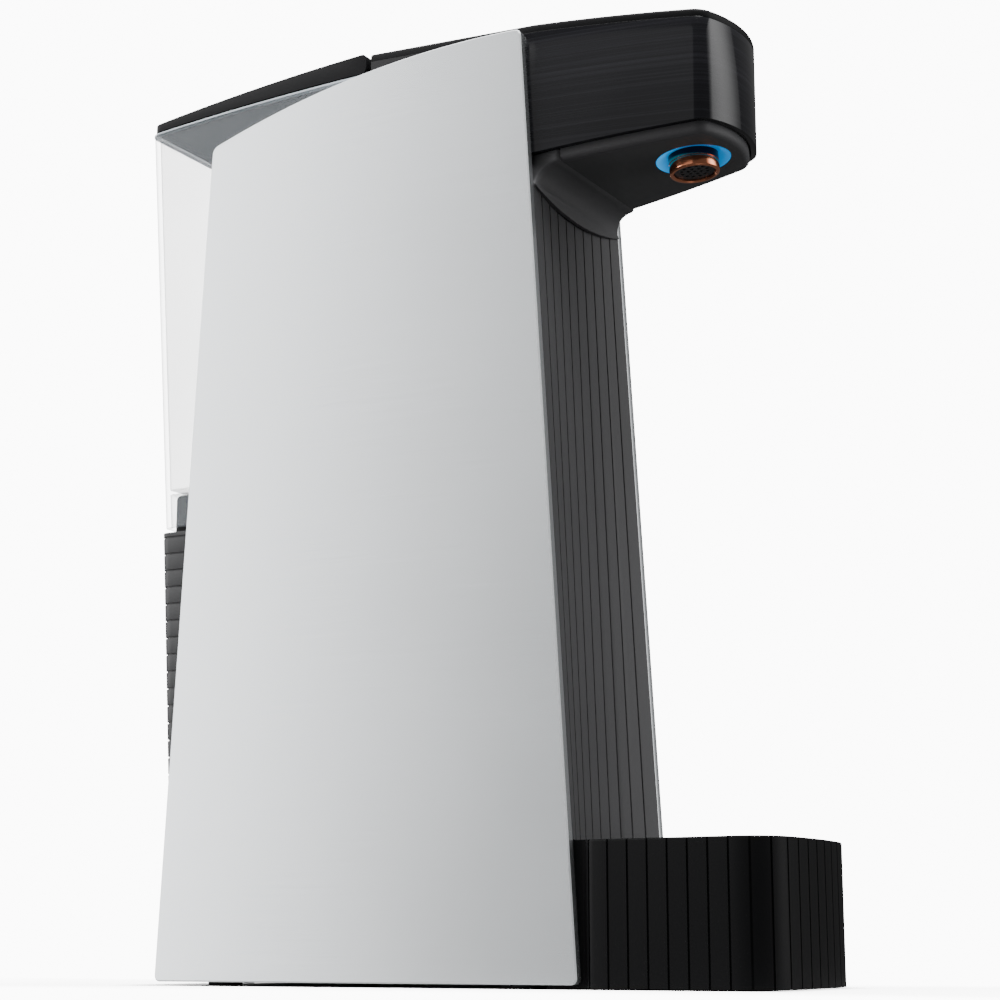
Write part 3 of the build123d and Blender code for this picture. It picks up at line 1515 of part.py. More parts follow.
valve_side_x = 7.5
filter_top = filter_low + filter_height
chilled_tube = hose(
    [
        (valve_side_x, filter_y, filter_top),
        (valve_side_x, filter_y, hot_z),
        (valve_side_x, valve_back.Y + end_gap, hot_z),
    ],
    bend * 0.7,
)
chilled_tube.label = "tube_filter_to_valve"
export_step(chilled_tube, "parts/tube_filter_to_valve.step")

socket_point = nozzle_plane.from_local_coords((0, 0, collar_tail + socket_cap))
valve_front = valve_plane.from_local_coords((0, -valve_length / 2, valve_outlet))
outlet_z = valve_front.Z
outlet_tube = hose(
    [
        (0, valve_front.Y - end_gap, outlet_z),
        (0, socket_point.Y, outlet_z),
        (0, socket_point.Y, socket_point.Z + end_gap),
    ],
    3.6,
)
outlet_tube.label = "tube_valve_to_nozzle"
export_step(outlet_tube, "parts/tube_valve_to_nozzle.step")
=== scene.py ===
"""Countertop water dispenser: the finished surfaces over its packed frame, laid out as an add-on."""

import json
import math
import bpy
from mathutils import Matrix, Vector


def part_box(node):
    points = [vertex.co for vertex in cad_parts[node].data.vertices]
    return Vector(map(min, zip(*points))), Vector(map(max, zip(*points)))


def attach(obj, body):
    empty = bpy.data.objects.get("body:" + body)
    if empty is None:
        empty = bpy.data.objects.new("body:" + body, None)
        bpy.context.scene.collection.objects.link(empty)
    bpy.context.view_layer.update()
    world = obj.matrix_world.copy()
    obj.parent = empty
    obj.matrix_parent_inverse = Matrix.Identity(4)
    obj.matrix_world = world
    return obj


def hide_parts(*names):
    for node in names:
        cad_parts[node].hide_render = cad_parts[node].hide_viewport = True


bl_info = {
    "name": "Countertop Water Dispenser",
    "version": (1, 0, 0),
    "blender": (4, 5, 0),
    "location": "View3D > Sidebar > Dispenser",
    "description": "Models a narrow countertop water dispenser piece by piece",
    "category": "Add Mesh",
}

import bmesh
import bpy
from bpy.props import FloatProperty, FloatVectorProperty, IntProperty, PointerProperty
from mathutils import Matrix, Vector

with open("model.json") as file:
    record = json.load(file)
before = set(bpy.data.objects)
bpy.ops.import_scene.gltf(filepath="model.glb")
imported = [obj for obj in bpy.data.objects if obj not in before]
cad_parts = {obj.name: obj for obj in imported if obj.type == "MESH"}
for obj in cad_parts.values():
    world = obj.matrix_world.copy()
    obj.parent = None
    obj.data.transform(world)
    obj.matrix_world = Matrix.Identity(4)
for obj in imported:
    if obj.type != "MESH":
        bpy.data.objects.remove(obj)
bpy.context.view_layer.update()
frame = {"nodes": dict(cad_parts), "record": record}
MM = 0.001

# Places read from the packed frame
PANEL_LOW, PANEL_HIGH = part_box("side_panel_right")
SHELL_LOW, SHELL_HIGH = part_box("head_shell")
COVER_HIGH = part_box("top_cover")[1]
COLUMN_LOW, COLUMN_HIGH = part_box("front_column")
TRAY_LOW, TRAY_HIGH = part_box("drip_tray")
GRATE_LOW, GRATE_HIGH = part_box("drip_grate")
TANK_LOW, TANK_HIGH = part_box("tank_body")
LID_LOW, LID_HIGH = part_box("tank_lid")
PIN_LOW, PIN_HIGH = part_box("hinge_pins")
PIN_RADIUS = (PIN_HIGH.z - PIN_LOW.z) / 2
RING_LOW, RING_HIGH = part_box("led_ring")

FRONT = PANEL_LOW.y - 0.19 * MM           # the panels' lower front corner, before it is rounded
REAR_FOOT = PANEL_HIGH.y + 0.16 * MM      # their lower rear corner
BODY_HALF = PANEL_LOW.x                   # inner face of a side panel
HEAD_HALF = SHELL_HIGH.x
HEAD_LOW = COLUMN_HIGH.z                  # the shell's lower edge, at the panels
HEAD_START = FRONT + 18.0 * MM
NOSE = SHELL_LOW.y
COVER_BACK = COVER_HIGH.y
COVER_BACK_TOP = COVER_HIGH.z


def face_line(z):
    """Depth of the panels' front edge at height z."""
    sizes = bpy.context.scene.dispenser_body
    return FRONT + sizes.rake * (z - PANEL_LOW.z)


def cover_top(y):
    """Height of the top cover at depth y."""
    return COVER_BACK_TOP - bpy.context.scene.dispenser_head.cover_slope * (COVER_BACK - y)


def shell_low(y):
    """Height of the gloss shell's lower edge at depth y."""
    return HEAD_LOW + bpy.context.scene.dispenser_head.rise * (HEAD_START - y)


def underside_level(y):
    """Height of the matte underside at depth y."""
    return shell_low(y) - bpy.context.scene.dispenser_head.underside_drop


# ---------------------------------------------------------------------------
# Sizes and colours that a user would change
# ---------------------------------------------------------------------------
def length(name, description, millimetres):
    """A length setting, given in millimetres."""
    return FloatProperty(
        name=name, description=description, default=millimetres * MM, unit="LENGTH", precision=4
    )


def colour(name, description, red, green, blue):
    """A colour setting."""
    return FloatVectorProperty(
        name=name, description=description, default=(red, green, blue),
        subtype="COLOR", size=3, min=0.0, max=1.0
    )


class DispenserBody(bpy.types.PropertyGroup):
    """Sizes of the panels, the column, the tray and the housing"""

    rake: FloatProperty(name="Rake", description="How far the front edge leans back per unit of height",
                        default=22.4 / 380.7, precision=4)
    crown_radius: length("Crown radius", "Radius of the panels' top edge", 416.0)
    panel_corner: length("Panel corner", "Radius of the panels' corners", 3.0)
    panel_chamfer: length("Panel chamfer", "Width of the bright chamfer round a panel", 0.55)
    rear_rake: length("Rear rake", "How far the panels' rear edge leans forward", 18.2)
    front_top: length("Front corner height", "Height of the panels' top front corner", 382.4)
    rear_top: length("Rear corner height", "Height of the panels' top rear corner", 359.5)
    groove_width: length("Groove width", "Width of a groove between two ribs", 0.8)
    groove_depth: length("Groove depth", "Depth of a groove between two ribs", 0.8)
    column_grooves: IntProperty(name="Column grooves", description="Grooves in the column's face",
                                default=9, min=1)
    column_wall: length("Column wall", "Thickness of the column's face", 2.8)
    dip_foot: length("Hollow at the foot", "Depth of the column's hollow at the tray", 7.4)
    dip_top: length("Hollow at the top", "Depth of the column's hollow under the head", 1.4)
    tray_nose_radius: length("Tray front radius", "Radius of the tray's front in plan", 194.0)
    tray_corner: length("Tray corner", "Radius of the tray's front corners", 16.4)
    tray_rear_corner: length("Tray rear corner", "Radius of the tray's rear corners", 6.0)
    tray_wall: length("Tray wall", "Thickness of the tray's wall", 2.6)
    tray_ledge: length("Tray ledge", "Width of the ledge that carries the grate", 2.0)
    tray_floor: length("Tray floor", "Height of the tray's inner floor", 12.0)
    tray_groove_pitch: length("Tray groove pitch", "Distance between two grooves of the tray", 7.9)
    grate_bar: length("Grate bar", "Width of a bar of the grate", 2.8)
    grate_slot: length("Grate slot", "Width of a slot of the grate", 3.2)


class DispenserHead(bpy.types.PropertyGroup):
    """Sizes of the head, its cover, its underside and its nozzle"""

    cover_slope: FloatProperty(name="Cover slope", description="Rise of the cover towards the back",
                               default=0.0468, precision=4)
    rise: FloatProperty(name="Underside rise", description="Rise of the head's lower edge towards the nose",
                        default=0.082, precision=4)
    cover_thick: length("Cover thickness", "Thickness of the top cover", 3.6)
    cover_edge: length("Cover edge", "Radius of the cover's upper edge", 1.6)
    narrowing: length("Nose narrowing", "How much a side comes in at the start of the nose", 10.0)
    side_end: length("Side length", "Where a side meets the nose, in front of the panels' foot", 42.0)
    nose_radius: length("Nose radius", "Radius of the nose in plan", 52.0)
    corner: length("Nose corner", "Radius between a side and the nose", 10.0)
    wall: length("Shell wall", "Thickness of the gloss shell", 2.5)
    underside_drop: length("Underside drop", "Underside below the shell's lower edge", 4.6)
    underside_inset: length("Underside inset", "Underside inside the shell's outline", 3.1)
    underside_edge: length("Underside edge", "Radius of the underside's lower edge", 2.4)
    cove_radius: length("Cove radius", "Radius of the cove between the underside and the column", 9.0)
    cove_drop: length("Cove drop", "Lowest point of the cove below the underside", 14.5)
    cove_arch: length("Cove arch", "How much the cove's lower lip rises at its ends", 5.5)
    cove_proud: length("Cove proud", "How far the lip stands out of the column", 1.6)
    ring_radius: length("Ring radius", "Outer radius of the light ring", 15.3)
    collar_radius: length("Collar radius", "Outer radius of the nozzle's collar", 10.3)
    collar_stand: length("Collar length", "How far the collar stands below the underside", 6.2)
    collar_wall: length("Collar wall", "Thickness of the collar", 1.9)
    button_radius: length("Button radius", "Radius of a push button", 6.0)
    button_pitch: length("Button pitch", "Distance between two buttons", 16.0)
    button_reach: length("Button reach", "Buttons in front of the panels' foot", 26.0)
    satin_back: length("Satin rear", "Where the shell turns satin, behind the panels' front edge", 12.0)


class DispenserTank(bpy.types.PropertyGroup):
    """Sizes of the tank and its lid"""

    wall: length("Tank wall", "Thickness of the tank's walls", 2.2)
    lean: FloatProperty(name="Tank lean", description="Lean of the tank's rear wall",
                        default=0.0735, precision=4)
    corner: length("Tank corner", "Radius of the tank's upright corners", 6.0)
    skirt: length("Tank skirt", "Height of the skirt below the tank's floor", 17.3)
    floor_thick: length("Tank floor", "Thickness of the tank's floor", 2.4)
    rim_front: length("Rim level", "Height of the tank's rim at the front", 380.175)
    rim_fall: length("Rim fall", "Fall of the rim from front to back", 5.9)
    rim_proud: length("Rim overhang", "How far the rim stands out of the tank's walls", 0.25)
    rim_height: length("Rim height", "Height of the rim's flange", 0.8)
    rim_bow: length("Rim bow", "How much the rim is arched between its ends", 1.1)
    lid_top: length("Lid height", "Height of the lid's top at the front", 389.4)
    lid_depth: length("Lid depth", "Height of the lid's front face", 8.7)
    lid_bow: length("Lid bow", "How much the lid's top is arched", 1.3)
    lid_edge: length("Lid edge", "Radius of the lid's front edges", 2.5)
    lid_fall: length("Lid fall", "Fall of the lid's top from front to back", 11.1)
    ear_thick: length("Hinge ear", "Thickness of a hinge ear", 3.0)
    ear_radius: length("Ear radius", "Radius of a hinge ear", 3.0)
    ear_offset: length("Ear offset", "Each hinge from the middle", 24.0)


class DispenserRear(bpy.types.PropertyGroup):
    """Sizes of the rear housing, its vents and its sockets"""

    lean: FloatProperty(name="Wall lean", description="Lean of the rear wall", default=0.0617, precision=4)
    foot_inset: length("Foot inset", "Rear wall's foot in front of the panels' rear foot", 3.8)
    depth: length("Housing depth", "Depth of the housing's sides", 19.0)
    wall: length("Housing wall", "Thickness of the housing's walls", 2.5)
    corner: length("Housing corner", "Radius of the housing's rear corners", 5.0)
    deck_thick: length("Deck thickness", "Thickness of the deck under the tank", 2.5)
    groove_depth: length("Groove depth", "Depth of a level groove", 0.6)
    groove_width: length("Groove width", "Width of a level groove", 0.8)
    groove_pitch: length("Groove pitch", "Distance between two level grooves", 7.25)
    plain_top: length("Plain top", "Ungrooved height below the deck", 1.75)
    plain_foot: length("Plain foot", "Ungrooved height at the foot", 62.0)
    vent_count: IntProperty(name="Vents", description="Vent slots in the rear wall", default=7, min=1)
    vent_level: length("Vent level", "Height of the middle vent", 100.0)
    vent_pitch: length("Vent pitch", "Distance between two vents", 5.2)
    vent_length: length("Vent length", "Length of a vent", 40.0)
    vent_height: length("Vent height", "Height of a vent", 2.4)
    socket_level: length("Socket level", "Height of the inlet and the switch", 32.0)
    inlet_across: length("Inlet place", "Inlet's place across the machine", 15.0)
    inlet_width: length("Inlet width", "Width of the inlet's body", 27.0)
    inlet_height: length("Inlet height", "Height of the inlet's body", 20.0)
    switch_across: length("Switch place", "Switch's place across the machine", -18.0)
    switch_width: length("Switch width", "Width of the switch's body", 13.0)
    switch_height: length("Switch height", "Height of the switch's body", 19.4)
    rocker_swing: FloatProperty(name="Rocker swing", description="Rocker's tilt each way, in degrees",
                                default=8.0)


class DispenserFinish(bpy.types.PropertyGroup):
    """Colours of the finishes"""

    silver: colour("Silver", "Satin metal of the side panels", 0.72, 0.745, 0.765)
    gloss: colour("Gloss black", "Gloss black of the head", 0.010, 0.010, 0.012)
    charcoal: colour("Charcoal", "Matte charcoal of the underside", 0.080, 0.080, 0.084)
    column: colour("Column grey", "Dark grey of the column, darkened for the housing", 0.064, 0.064, 0.067)
    tray: colour("Tray black", "Near black of the tray, the grate and the sockets", 0.0065, 0.0065, 0.007)
    clear: colour("Clear", "Clear plastic of the tank", 0.31, 0.34, 0.37)
    copper: colour("Copper", "Polished copper tone of the collar", 0.88, 0.33, 0.18)
    plum: colour("Plum", "Upper band of the collar", 0.10, 0.03, 0.035)
    light: colour("Light", "Light of the nozzle ring", 0.0, 0.10, 0.30)


# ---------------------------------------------------------------------------
# Outlines
# ---------------------------------------------------------------------------
def circle_through(a, b, c):
    """Centre and radius of the circle through three points in a plane."""
    d = 2 * (a[0] * (b[1] - c[1]) + b[0] * (c[1] - a[1]) + c[0] * (a[1] - b[1]))
    squares = [p[0] ** 2 + p[1] ** 2 for p in (a, b, c)]
    x = (squares[0] * (b[1] - c[1]) + squares[1] * (c[1] - a[1]) + squares[2] * (a[1] - b[1])) / d
    y = (squares[0] * (c[0] - b[0]) + squares[1] * (a[0] - c[0]) + squares[2] * (b[0] - a[0])) / d
    return (x, y), math.dist((x, y), a)


def arc_points(centre, radius, start, end, steps):
    """Points along an arc between two angles in radians."""
    angles = [start + (end - start) * i / steps for i in range(steps + 1)]
    return [(centre[0] + radius * math.cos(a), centre[1] + radius * math.sin(a)) for a in angles]


def angle_of(centre, point):
    """Direction from a centre to a point, in radians."""
    return math.atan2(point[1] - centre[1], point[0] - centre[0])


def arc_between(a, middle, b, steps):
    """Points along the arc from a to b through a middle point."""
    centre, radius = circle_through(a, middle, b)
    start, end = angle_of(centre, a), angle_of(centre, b)
    turn = (end - start + math.pi) % (2 * math.pi) - math.pi
    return arc_points(centre, radius, start, start + turn, steps)


def mirrored(right):
    """A whole outline from its right half, which runs from the back to the middle of the front."""
    left = [(-x, y) for x, y in reversed(right) if abs(x) > 1e-7]
    return right + left


def head_outline(inset, tail):
    """Plan of the head from depth tail forward round the nose, set in by inset."""
    sizes = bpy.context.scene.dispenser_head
    nose_reach = FRONT - NOSE
    corner_x = HEAD_HALF - sizes.narrowing - (nose_reach - sizes.side_end) * 0.12
    corner_y = NOSE + sizes.nose_radius - math.sqrt(sizes.nose_radius**2 - corner_x**2)
    middle = (HEAD_HALF - sizes.narrowing * 0.39, (HEAD_START + FRONT - sizes.side_end) / 2)
    side, side_radius = circle_through((HEAD_HALF, HEAD_START), middle, (corner_x, corner_y))
    nose = (0.0, NOSE + sizes.nose_radius)
    far = side_radius - sizes.corner
    near = sizes.nose_radius - sizes.corner
    gap = Vector(nose) - Vector(side)
    along = (far**2 - near**2 + gap.length**2) / (2 * gap.length)
    across = math.sqrt(far**2 - along**2)
    unit = gap.normalized()
    corner = Vector(side) + unit * along + Vector((unit.y, -unit.x)) * across
    start = angle_of(side, (HEAD_HALF, HEAD_START))
    points = [(HEAD_HALF - inset, tail)]
    points += arc_points(side, side_radius - inset, start, angle_of(side, corner), 26)
    points += arc_points(corner, sizes.corner - inset, angle_of(side, corner), angle_of(nose, corner), 14)[1:]
    points += arc_points(nose, sizes.nose_radius - inset, angle_of(nose, corner), -math.pi / 2, 10)[1:]
    return mirrored(points)


def tray_outline(inset):
    """Plan of the drip tray in front of the panels, set in by inset."""
    sizes = bpy.context.scene.dispenser_body
    half = TRAY_HIGH.x - inset
    rear = FRONT - SLIDE_GAP - inset
    nose = (0.0, TRAY_LOW.y + sizes.tray_nose_radius)
    nose_radius = sizes.tray_nose_radius - inset
    corner_radius = sizes.tray_corner - inset
    rear_radius = max(sizes.tray_rear_corner - inset, 0.5 * MM)
    corner_x = half - corner_radius
    corner = (corner_x, nose[1] - math.sqrt((nose_radius - corner_radius) ** 2 - corner_x**2))
    rear_corner = (half - rear_radius, rear - rear_radius)
    points = arc_points(rear_corner, rear_radius, math.pi / 2, 0.0, 8)
    points += arc_points(corner, corner_radius, 0.0, angle_of(nose, corner), 20)
    points += arc_points(nose, nose_radius, angle_of(nose, corner), -math.pi / 2, 14)[1:]
    return mirrored(points)


def walk(points, pitch, start):
    """Places at even steps along an open run of points, each with its direction."""
    spans = [math.dist(a, b) for a, b in zip(points, points[1:])]
    total = sum(spans)
    count = round((total - 2 * start) / pitch)
    step = (total - 2 * start) / count
    places = []
    for i in range(count + 1):
        left = start + i * step
        for span, a, b in zip(spans, points, points[1:]):
            if left <= span:
                way = (Vector(b) - Vector(a)).normalized()
                places.append((Vector(a) + way * left, way))
                break
            left -= span
    return places


# ---------------------------------------------------------------------------
# Workshop: short names for the modelling steps
# ---------------------------------------------------------------------------
def clear_bench():
    """Object mode with nothing selected."""
    if bpy.context.mode != "OBJECT":
        bpy.ops.object.mode_set(mode="OBJECT")
    bpy.ops.object.select_all(action="DESELECT")


def pick(piece):
    """Makes one piece the only selected and active one."""
    clear_bench()
    piece.select_set(True)
    bpy.context.view_layer.objects.active = piece


def named(name):
    """Names the piece that was just added and settles its place into its mesh."""
    piece = bpy.context.object
    piece.name = piece.data.name = name
    bpy.ops.object.transform_apply(location=True, rotation=True, scale=True)
    return piece


def blank(name, low, high):
    """A box between two corners, to be shaped."""
    low, high = Vector(low), Vector(high)
    clear_bench()
    bpy.ops.mesh.primitive_cube_add(size=1, location=(low + high) / 2, scale=high - low)
    return named(name)


def disc(name, radius, depth, centre, direction=(0, 0, 1), sides=96):
    """A round blank whose axis runs along direction."""
    clear_bench()
    turn = Vector(direction).to_track_quat("Z", "Y").to_euler()
    bpy.ops.mesh.primitive_cylinder_add(
        vertices=sides, radius=radius, depth=depth, location=centre, rotation=turn
    )
    return named(name)


class Shaping:
    """Edit mode on one piece, with its faces, edges and corners chosen by place or direction."""

    def __init__(self, piece):
        self.piece = piece

    def __enter__(self):
        pick(self.piece)
        bpy.ops.object.mode_set(mode="EDIT")
        bpy.ops.mesh.select_mode(type="VERT")
        bpy.ops.mesh.select_all(action="SELECT")
        return self

    def __exit__(self, *problem):
        bpy.ops.object.mode_set(mode="OBJECT")

    def choose(self, kind, test):
        """Selects the faces, edges or verts that pass a test."""
        bpy.ops.mesh.select_mode(type={"faces": "FACE", "edges": "EDGE", "verts": "VERT"}[kind])
        bpy.ops.mesh.select_all(action="DESELECT")
        mesh = bmesh.from_edit_mesh(self.piece.data)
        mesh.normal_update()
        for part in getattr(mesh, kind):
            if test(part):
                part.select_set(True)
        mesh.select_flush_mode()
        bmesh.update_edit_mesh(self.piece.data)

    def cut(self, point, normal, drop=True):
        """Cuts everything by a plane, and drops what lies on the normal's side."""
        bpy.ops.mesh.select_mode(type="VERT")
        bpy.ops.mesh.select_all(action="SELECT")
        bpy.ops.mesh.bisect(plane_co=point, plane_no=normal, use_fill=drop, clear_outer=drop, threshold=1e-7)

    def bevel(self, width, segments=3, profile=0.5):
        """Rounds the chosen edges."""
        bpy.ops.mesh.bevel(
            offset=width, segments=segments, profile=profile, affect="EDGES", clamp_overlap=True
        )

    def push(self, x=0.0, y=0.0, z=0.0):
        """Moves what is chosen."""
        bpy.ops.transform.translate(value=(x, y, z))

    def pull_out(self, x=0.0, y=0.0, z=0.0):
        """Extrudes what is chosen."""
        bpy.ops.mesh.extrude_region_move(TRANSFORM_OT_translate={"value": (x, y, z)})

    def tidy(self):
        """Merges doubles and turns every face outwards."""
        bpy.ops.mesh.select_all(action="SELECT")
        bpy.ops.mesh.remove_doubles(threshold=1e-7)
        bpy.ops.mesh.normals_make_consistent(inside=False)


def slab(name, points, push):
    """A flat outline drawn point by point in space, filled, and pushed out along a vector."""
    points = [Vector(p) for p in points]
    clear_bench()
    bpy.ops.mesh.primitive_plane_add(size=1 * MM, location=points[0])
    piece = bpy.context.object
    with Shaping(piece):
        bpy.ops.mesh.merge(type="CENTER")
        for a, b in zip(points, points[1:]):
            bpy.ops.mesh.extrude_region_move(TRANSFORM_OT_translate={"value": b - a})
        bpy.ops.mesh.select_all(action="SELECT")
        bpy.ops.mesh.edge_face_add()
        bpy.ops.mesh.extrude_region_move(TRANSFORM_OT_translate={"value": Vector(push)})
    pick(piece)
    piece = named(name)
    with Shaping(piece) as shape:
        shape.tidy()
    return piece


def plan_slab(name, outline, low, high):
    """An upright piece with a plan outline."""
    return slab(name, [(x, y, low) for x, y in outline], (0, 0, high - low))


def profile_slab(name, outline, left, right):
    """A piece across the machine with a side outline of depths and heights."""
    return slab(name, [(left, y, z) for y, z in outline], (right - left, 0, 0))


def ringed(name, profile, centre, axis, steps=96):
    """A round piece: a section of radii and heights, spun about an axis."""
    turn = Vector(axis).to_track_quat("Z", "Y").to_matrix()
    points = [Vector(centre) + turn @ Vector((r, 0, h)) for r, h in profile]
    clear_bench()
    bpy.ops.mesh.primitive_plane_add(size=1 * MM, location=points[0])
    piece = bpy.context.object
    with Shaping(piece):
        bpy.ops.mesh.merge(type="CENTER")
        for a, b in zip(points, points[1:] + ([] if profile[0][0] == profile[-1][0] == 0 else points[:1])):
            bpy.ops.mesh.extrude_region_move(TRANSFORM_OT_translate={"value": b - a})
        bpy.ops.mesh.select_all(action="SELECT")
        bpy.ops.mesh.spin(steps=steps, angle=2 * math.pi, center=centre, axis=axis)
    pick(piece)
    piece = named(name)
    with Shaping(piece):
        bpy.ops.mesh.select_all(action="SELECT")
        bpy.ops.mesh.remove_doubles(threshold=1e-6)
        bpy.ops.mesh.normals_make_consistent(inside=False)
    return piece


def join(name, pieces):
    """Several pieces as one object."""
    clear_bench()
    for piece in pieces:
        piece.select_set(True)
    bpy.context.view_layer.objects.active = pieces[0]
    if len(pieces) > 1:
        bpy.ops.object.join()
    joined = bpy.context.object
    joined.name = joined.data.name = name
    return joined


def carve(piece, *cutters, operation="DIFFERENCE"):
    """Cuts pieces out of another, or keeps what they share, and removes the cutters."""
    cutter = join("cutter", list(cutters))
    pick(piece)
    change = piece.modifiers.new("Carve", "BOOLEAN")
    change.operation, change.solver, change.object = operation, "MANIFOLD", cutter
    bpy.ops.object.modifier_apply(modifier=change.name)
    bpy.data.objects.remove(cutter)
    return piece


def soften(piece, width, segments=2, angle=35.0):
    """Rounds every sharp edge a little and shades the rest smooth."""
    pick(piece)
    change = piece.modifiers.new("Soft edges", "BEVEL")
    change.width, change.segments = width, segments
    change.limit_method, change.angle_limit = "ANGLE", math.radians(angle)
    change.harden_normals = False
    change.use_clamp_overlap = True
    bpy.ops.object.modifier_apply(modifier=change.name)
    return smooth(piece, angle)


def smooth(piece, angle=35.0):
    """Smooth shading, with creases where faces meet at more than an angle."""
    pick(piece)
    bpy.ops.object.shade_smooth_by_angle(angle=math.radians(angle))
    return piece


def finish_piece(piece, body, finish, slot, *nodes):
    """Gives a piece its finish and its body, and lets it stand for CAD nodes."""
    if finish.name not in piece.data.materials:
        piece.data.materials.clear()
        piece.data.materials.append(finish)
    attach(piece, body)
    if nodes:
        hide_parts(*nodes)
    return piece


# ---------------------------------------------------------------------------
# Finishes
# ---------------------------------------------------------------------------
class Wire:
    """A socket in a finish, which can be used in sums."""

    def __init__(self, recipe, socket):
        self.recipe, self.socket = recipe, socket

    def sum_with(self, operation, other, flipped=False):
        """A Math node on this socket and another value."""
        pair = (other, self) if flipped else (self, other)
        return self.recipe.node("ShaderNodeMath", {"operation": operation}, {0: pair[0], 1: pair[1]})

    def __add__(self, other):
        return self.sum_with("ADD", other)

    def __radd__(self, other):
        return self.sum_with("ADD", other, flipped=True)

    def __sub__(self, other):
        return self.sum_with("SUBTRACT", other)

    def __rsub__(self, other):
        return self.sum_with("SUBTRACT", other, flipped=True)

    def __mul__(self, other):
        return self.sum_with("MULTIPLY", other)

    def __rmul__(self, other):
        return self.sum_with("MULTIPLY", other, flipped=True)


class Recipe:
    """One finish, built up node by node round its surface shader."""

    def __init__(self, name, **fixed):
        self.material = bpy.data.materials.new(name)
        self.material.use_nodes = True
        self.tree = self.material.node_tree
        self.shader = self.tree.nodes["Principled BSDF"]
        for socket, value in fixed.items():
            self.set(socket.replace("_", " "), value)

    def set(self, socket, value):
        """Feeds one socket of the surface shader."""
        self.give(self.shader.inputs[socket], value)

    def give(self, socket, value):
        """Links a wire to a socket, or sets the socket's own value."""
        if isinstance(value, Wire):
            self.tree.links.new(value.socket, socket)
        elif hasattr(value, "__len__") and len(value) == 3 and socket.type == "RGBA":
            socket.default_value = (*value, 1.0)
        else:
            socket.default_value = value

    def node(self, kind, settings=None, inputs=None, output=0):
        """Adds a node: its settings first, then the values or wires of its sockets."""
        made = self.tree.nodes.new(kind)
        for key, value in (settings or {}).items():
            if key == "stops":
                ramp = made.color_ramp
                while len(ramp.elements) < len(value):
                    ramp.elements.new(0.5)
                for element, (place, shade) in zip(ramp.elements, value):
                    element.position, element.color = place, (*shade, 1.0)
            else:
                setattr(made, key, value)
        for key, value in (inputs or {}).items():
            self.give(made.inputs[key], value)
        return Wire(self, made.outputs[output])

    def place(self, scale=(1.0, 1.0, 1.0), turn=(0.0, 0.0, 0.0), offset=(0.0, 0.0, 0.0)):
        """Object coordinates, stretched and turned."""
        here = self.node("ShaderNodeTexCoord", output="Object")
        return self.node(
            "ShaderNodeMapping", {}, {"Vector": here, "Scale": scale, "Rotation": turn, "Location": offset}
        )

    def noise(self, scale, detail=4.0, roughness=0.55, at=None):
        """Noise from 0 to 1 at so many features a metre."""
        sockets = {"Scale": scale, "Detail": detail, "Roughness": roughness, "Vector": at or self.place()}
        return self.node("ShaderNodeTexNoise", {}, sockets)

    def blend(self, share, first, second):
        """A colour between two, by a share."""
        return self.node("ShaderNodeMix", {"data_type": "RGBA"}, {0: share, 6: first, 7: second}, output=2)

    def span(self, value, low, high, from_low=0.0, from_high=1.0):
        """A value brought from one range to another, and kept in it."""
        sockets = {0: value, 1: from_low, 2: from_high, 3: low, 4: high}
        return self.node("ShaderNodeMapRange", {"clamp": True}, sockets)

    def relief(self, height, strength, distance):
        """Feeds a fine relief to the surface."""
        bump = self.node("ShaderNodeBump", {}, {"Strength": strength, "Distance": distance, "Height": height})
        self.set("Normal", bump)


def shade(tone, factor):
    """A colour made lighter or darker."""
    return tuple(min(1.0, part * factor) for part in tone)


def sprayed_metal(name, tone):
    """Satin metal: fine flake, faint drawn lines and a soft cloud of roughness."""
    recipe = Recipe(name, Metallic=0.88, Specular_IOR_Level=0.5)
    flake = recipe.noise(5200.0, 2.0)
    drawn = recipe.noise(60.0, 3.0, at=recipe.place(scale=(1.0, 0.35, 26.0)))
    cloud = recipe.noise(9.0, 2.0)
    recipe.set("Base Color", recipe.blend(
        recipe.span(flake * 0.7 + drawn * 0.3, 0.0, 1.0, 0.3, 0.7), shade(tone, 0.95), shade(tone, 1.06)))
    recipe.set("Roughness", recipe.span(cloud * 0.5 + flake * 0.5, 0.21, 0.28, 0.3, 0.7))
    recipe.relief(flake * 0.6 + drawn * 0.4, 0.10, 0.00004)
    return recipe.material


def painted_highlight_edge(name, tone):
    """Cut edge of the metal, painted in a lighter, less metallic copy of the silver as a highlight along the
    chamfer.
    """
    recipe = Recipe(name, Metallic=0.15)
    drawn = recipe.noise(900.0, 3.0)
    recipe.set("Base Color", recipe.blend(drawn, shade(tone, 1.22), shade(tone, 1.32)))
    recipe.set("Roughness", recipe.span(drawn, 0.30, 0.42, 0.3, 0.7))
    return recipe.material


def piano_gloss(name, tone):
    """Deep gloss moulding with faint level lines and fine swirls."""
    recipe = Recipe(name, Coat_Roughness=0.03, Specular_IOR_Level=0.36)
    lines = recipe.noise(26.0, 5.0, 0.7, at=recipe.place(scale=(0.2, 0.12, 30.0), turn=(0.082, 0.0, 0.0)))
    haze = recipe.noise(30.0, 3.0)
    mask = recipe.span(lines, 0.0, 1.0, 0.46, 0.72)
    recipe.set("Base Color", recipe.blend(mask, tone, shade(tone, 2.2)))
    recipe.set("Roughness", recipe.span(mask * 0.5 + haze * 0.5, 0.07, 0.17, 0.2, 0.8))
    recipe.set("Coat Weight", recipe.span(haze, 0.0, 0.08, 0.3, 0.7))
    recipe.relief(haze, 0.03, 0.0002)
    return recipe.material


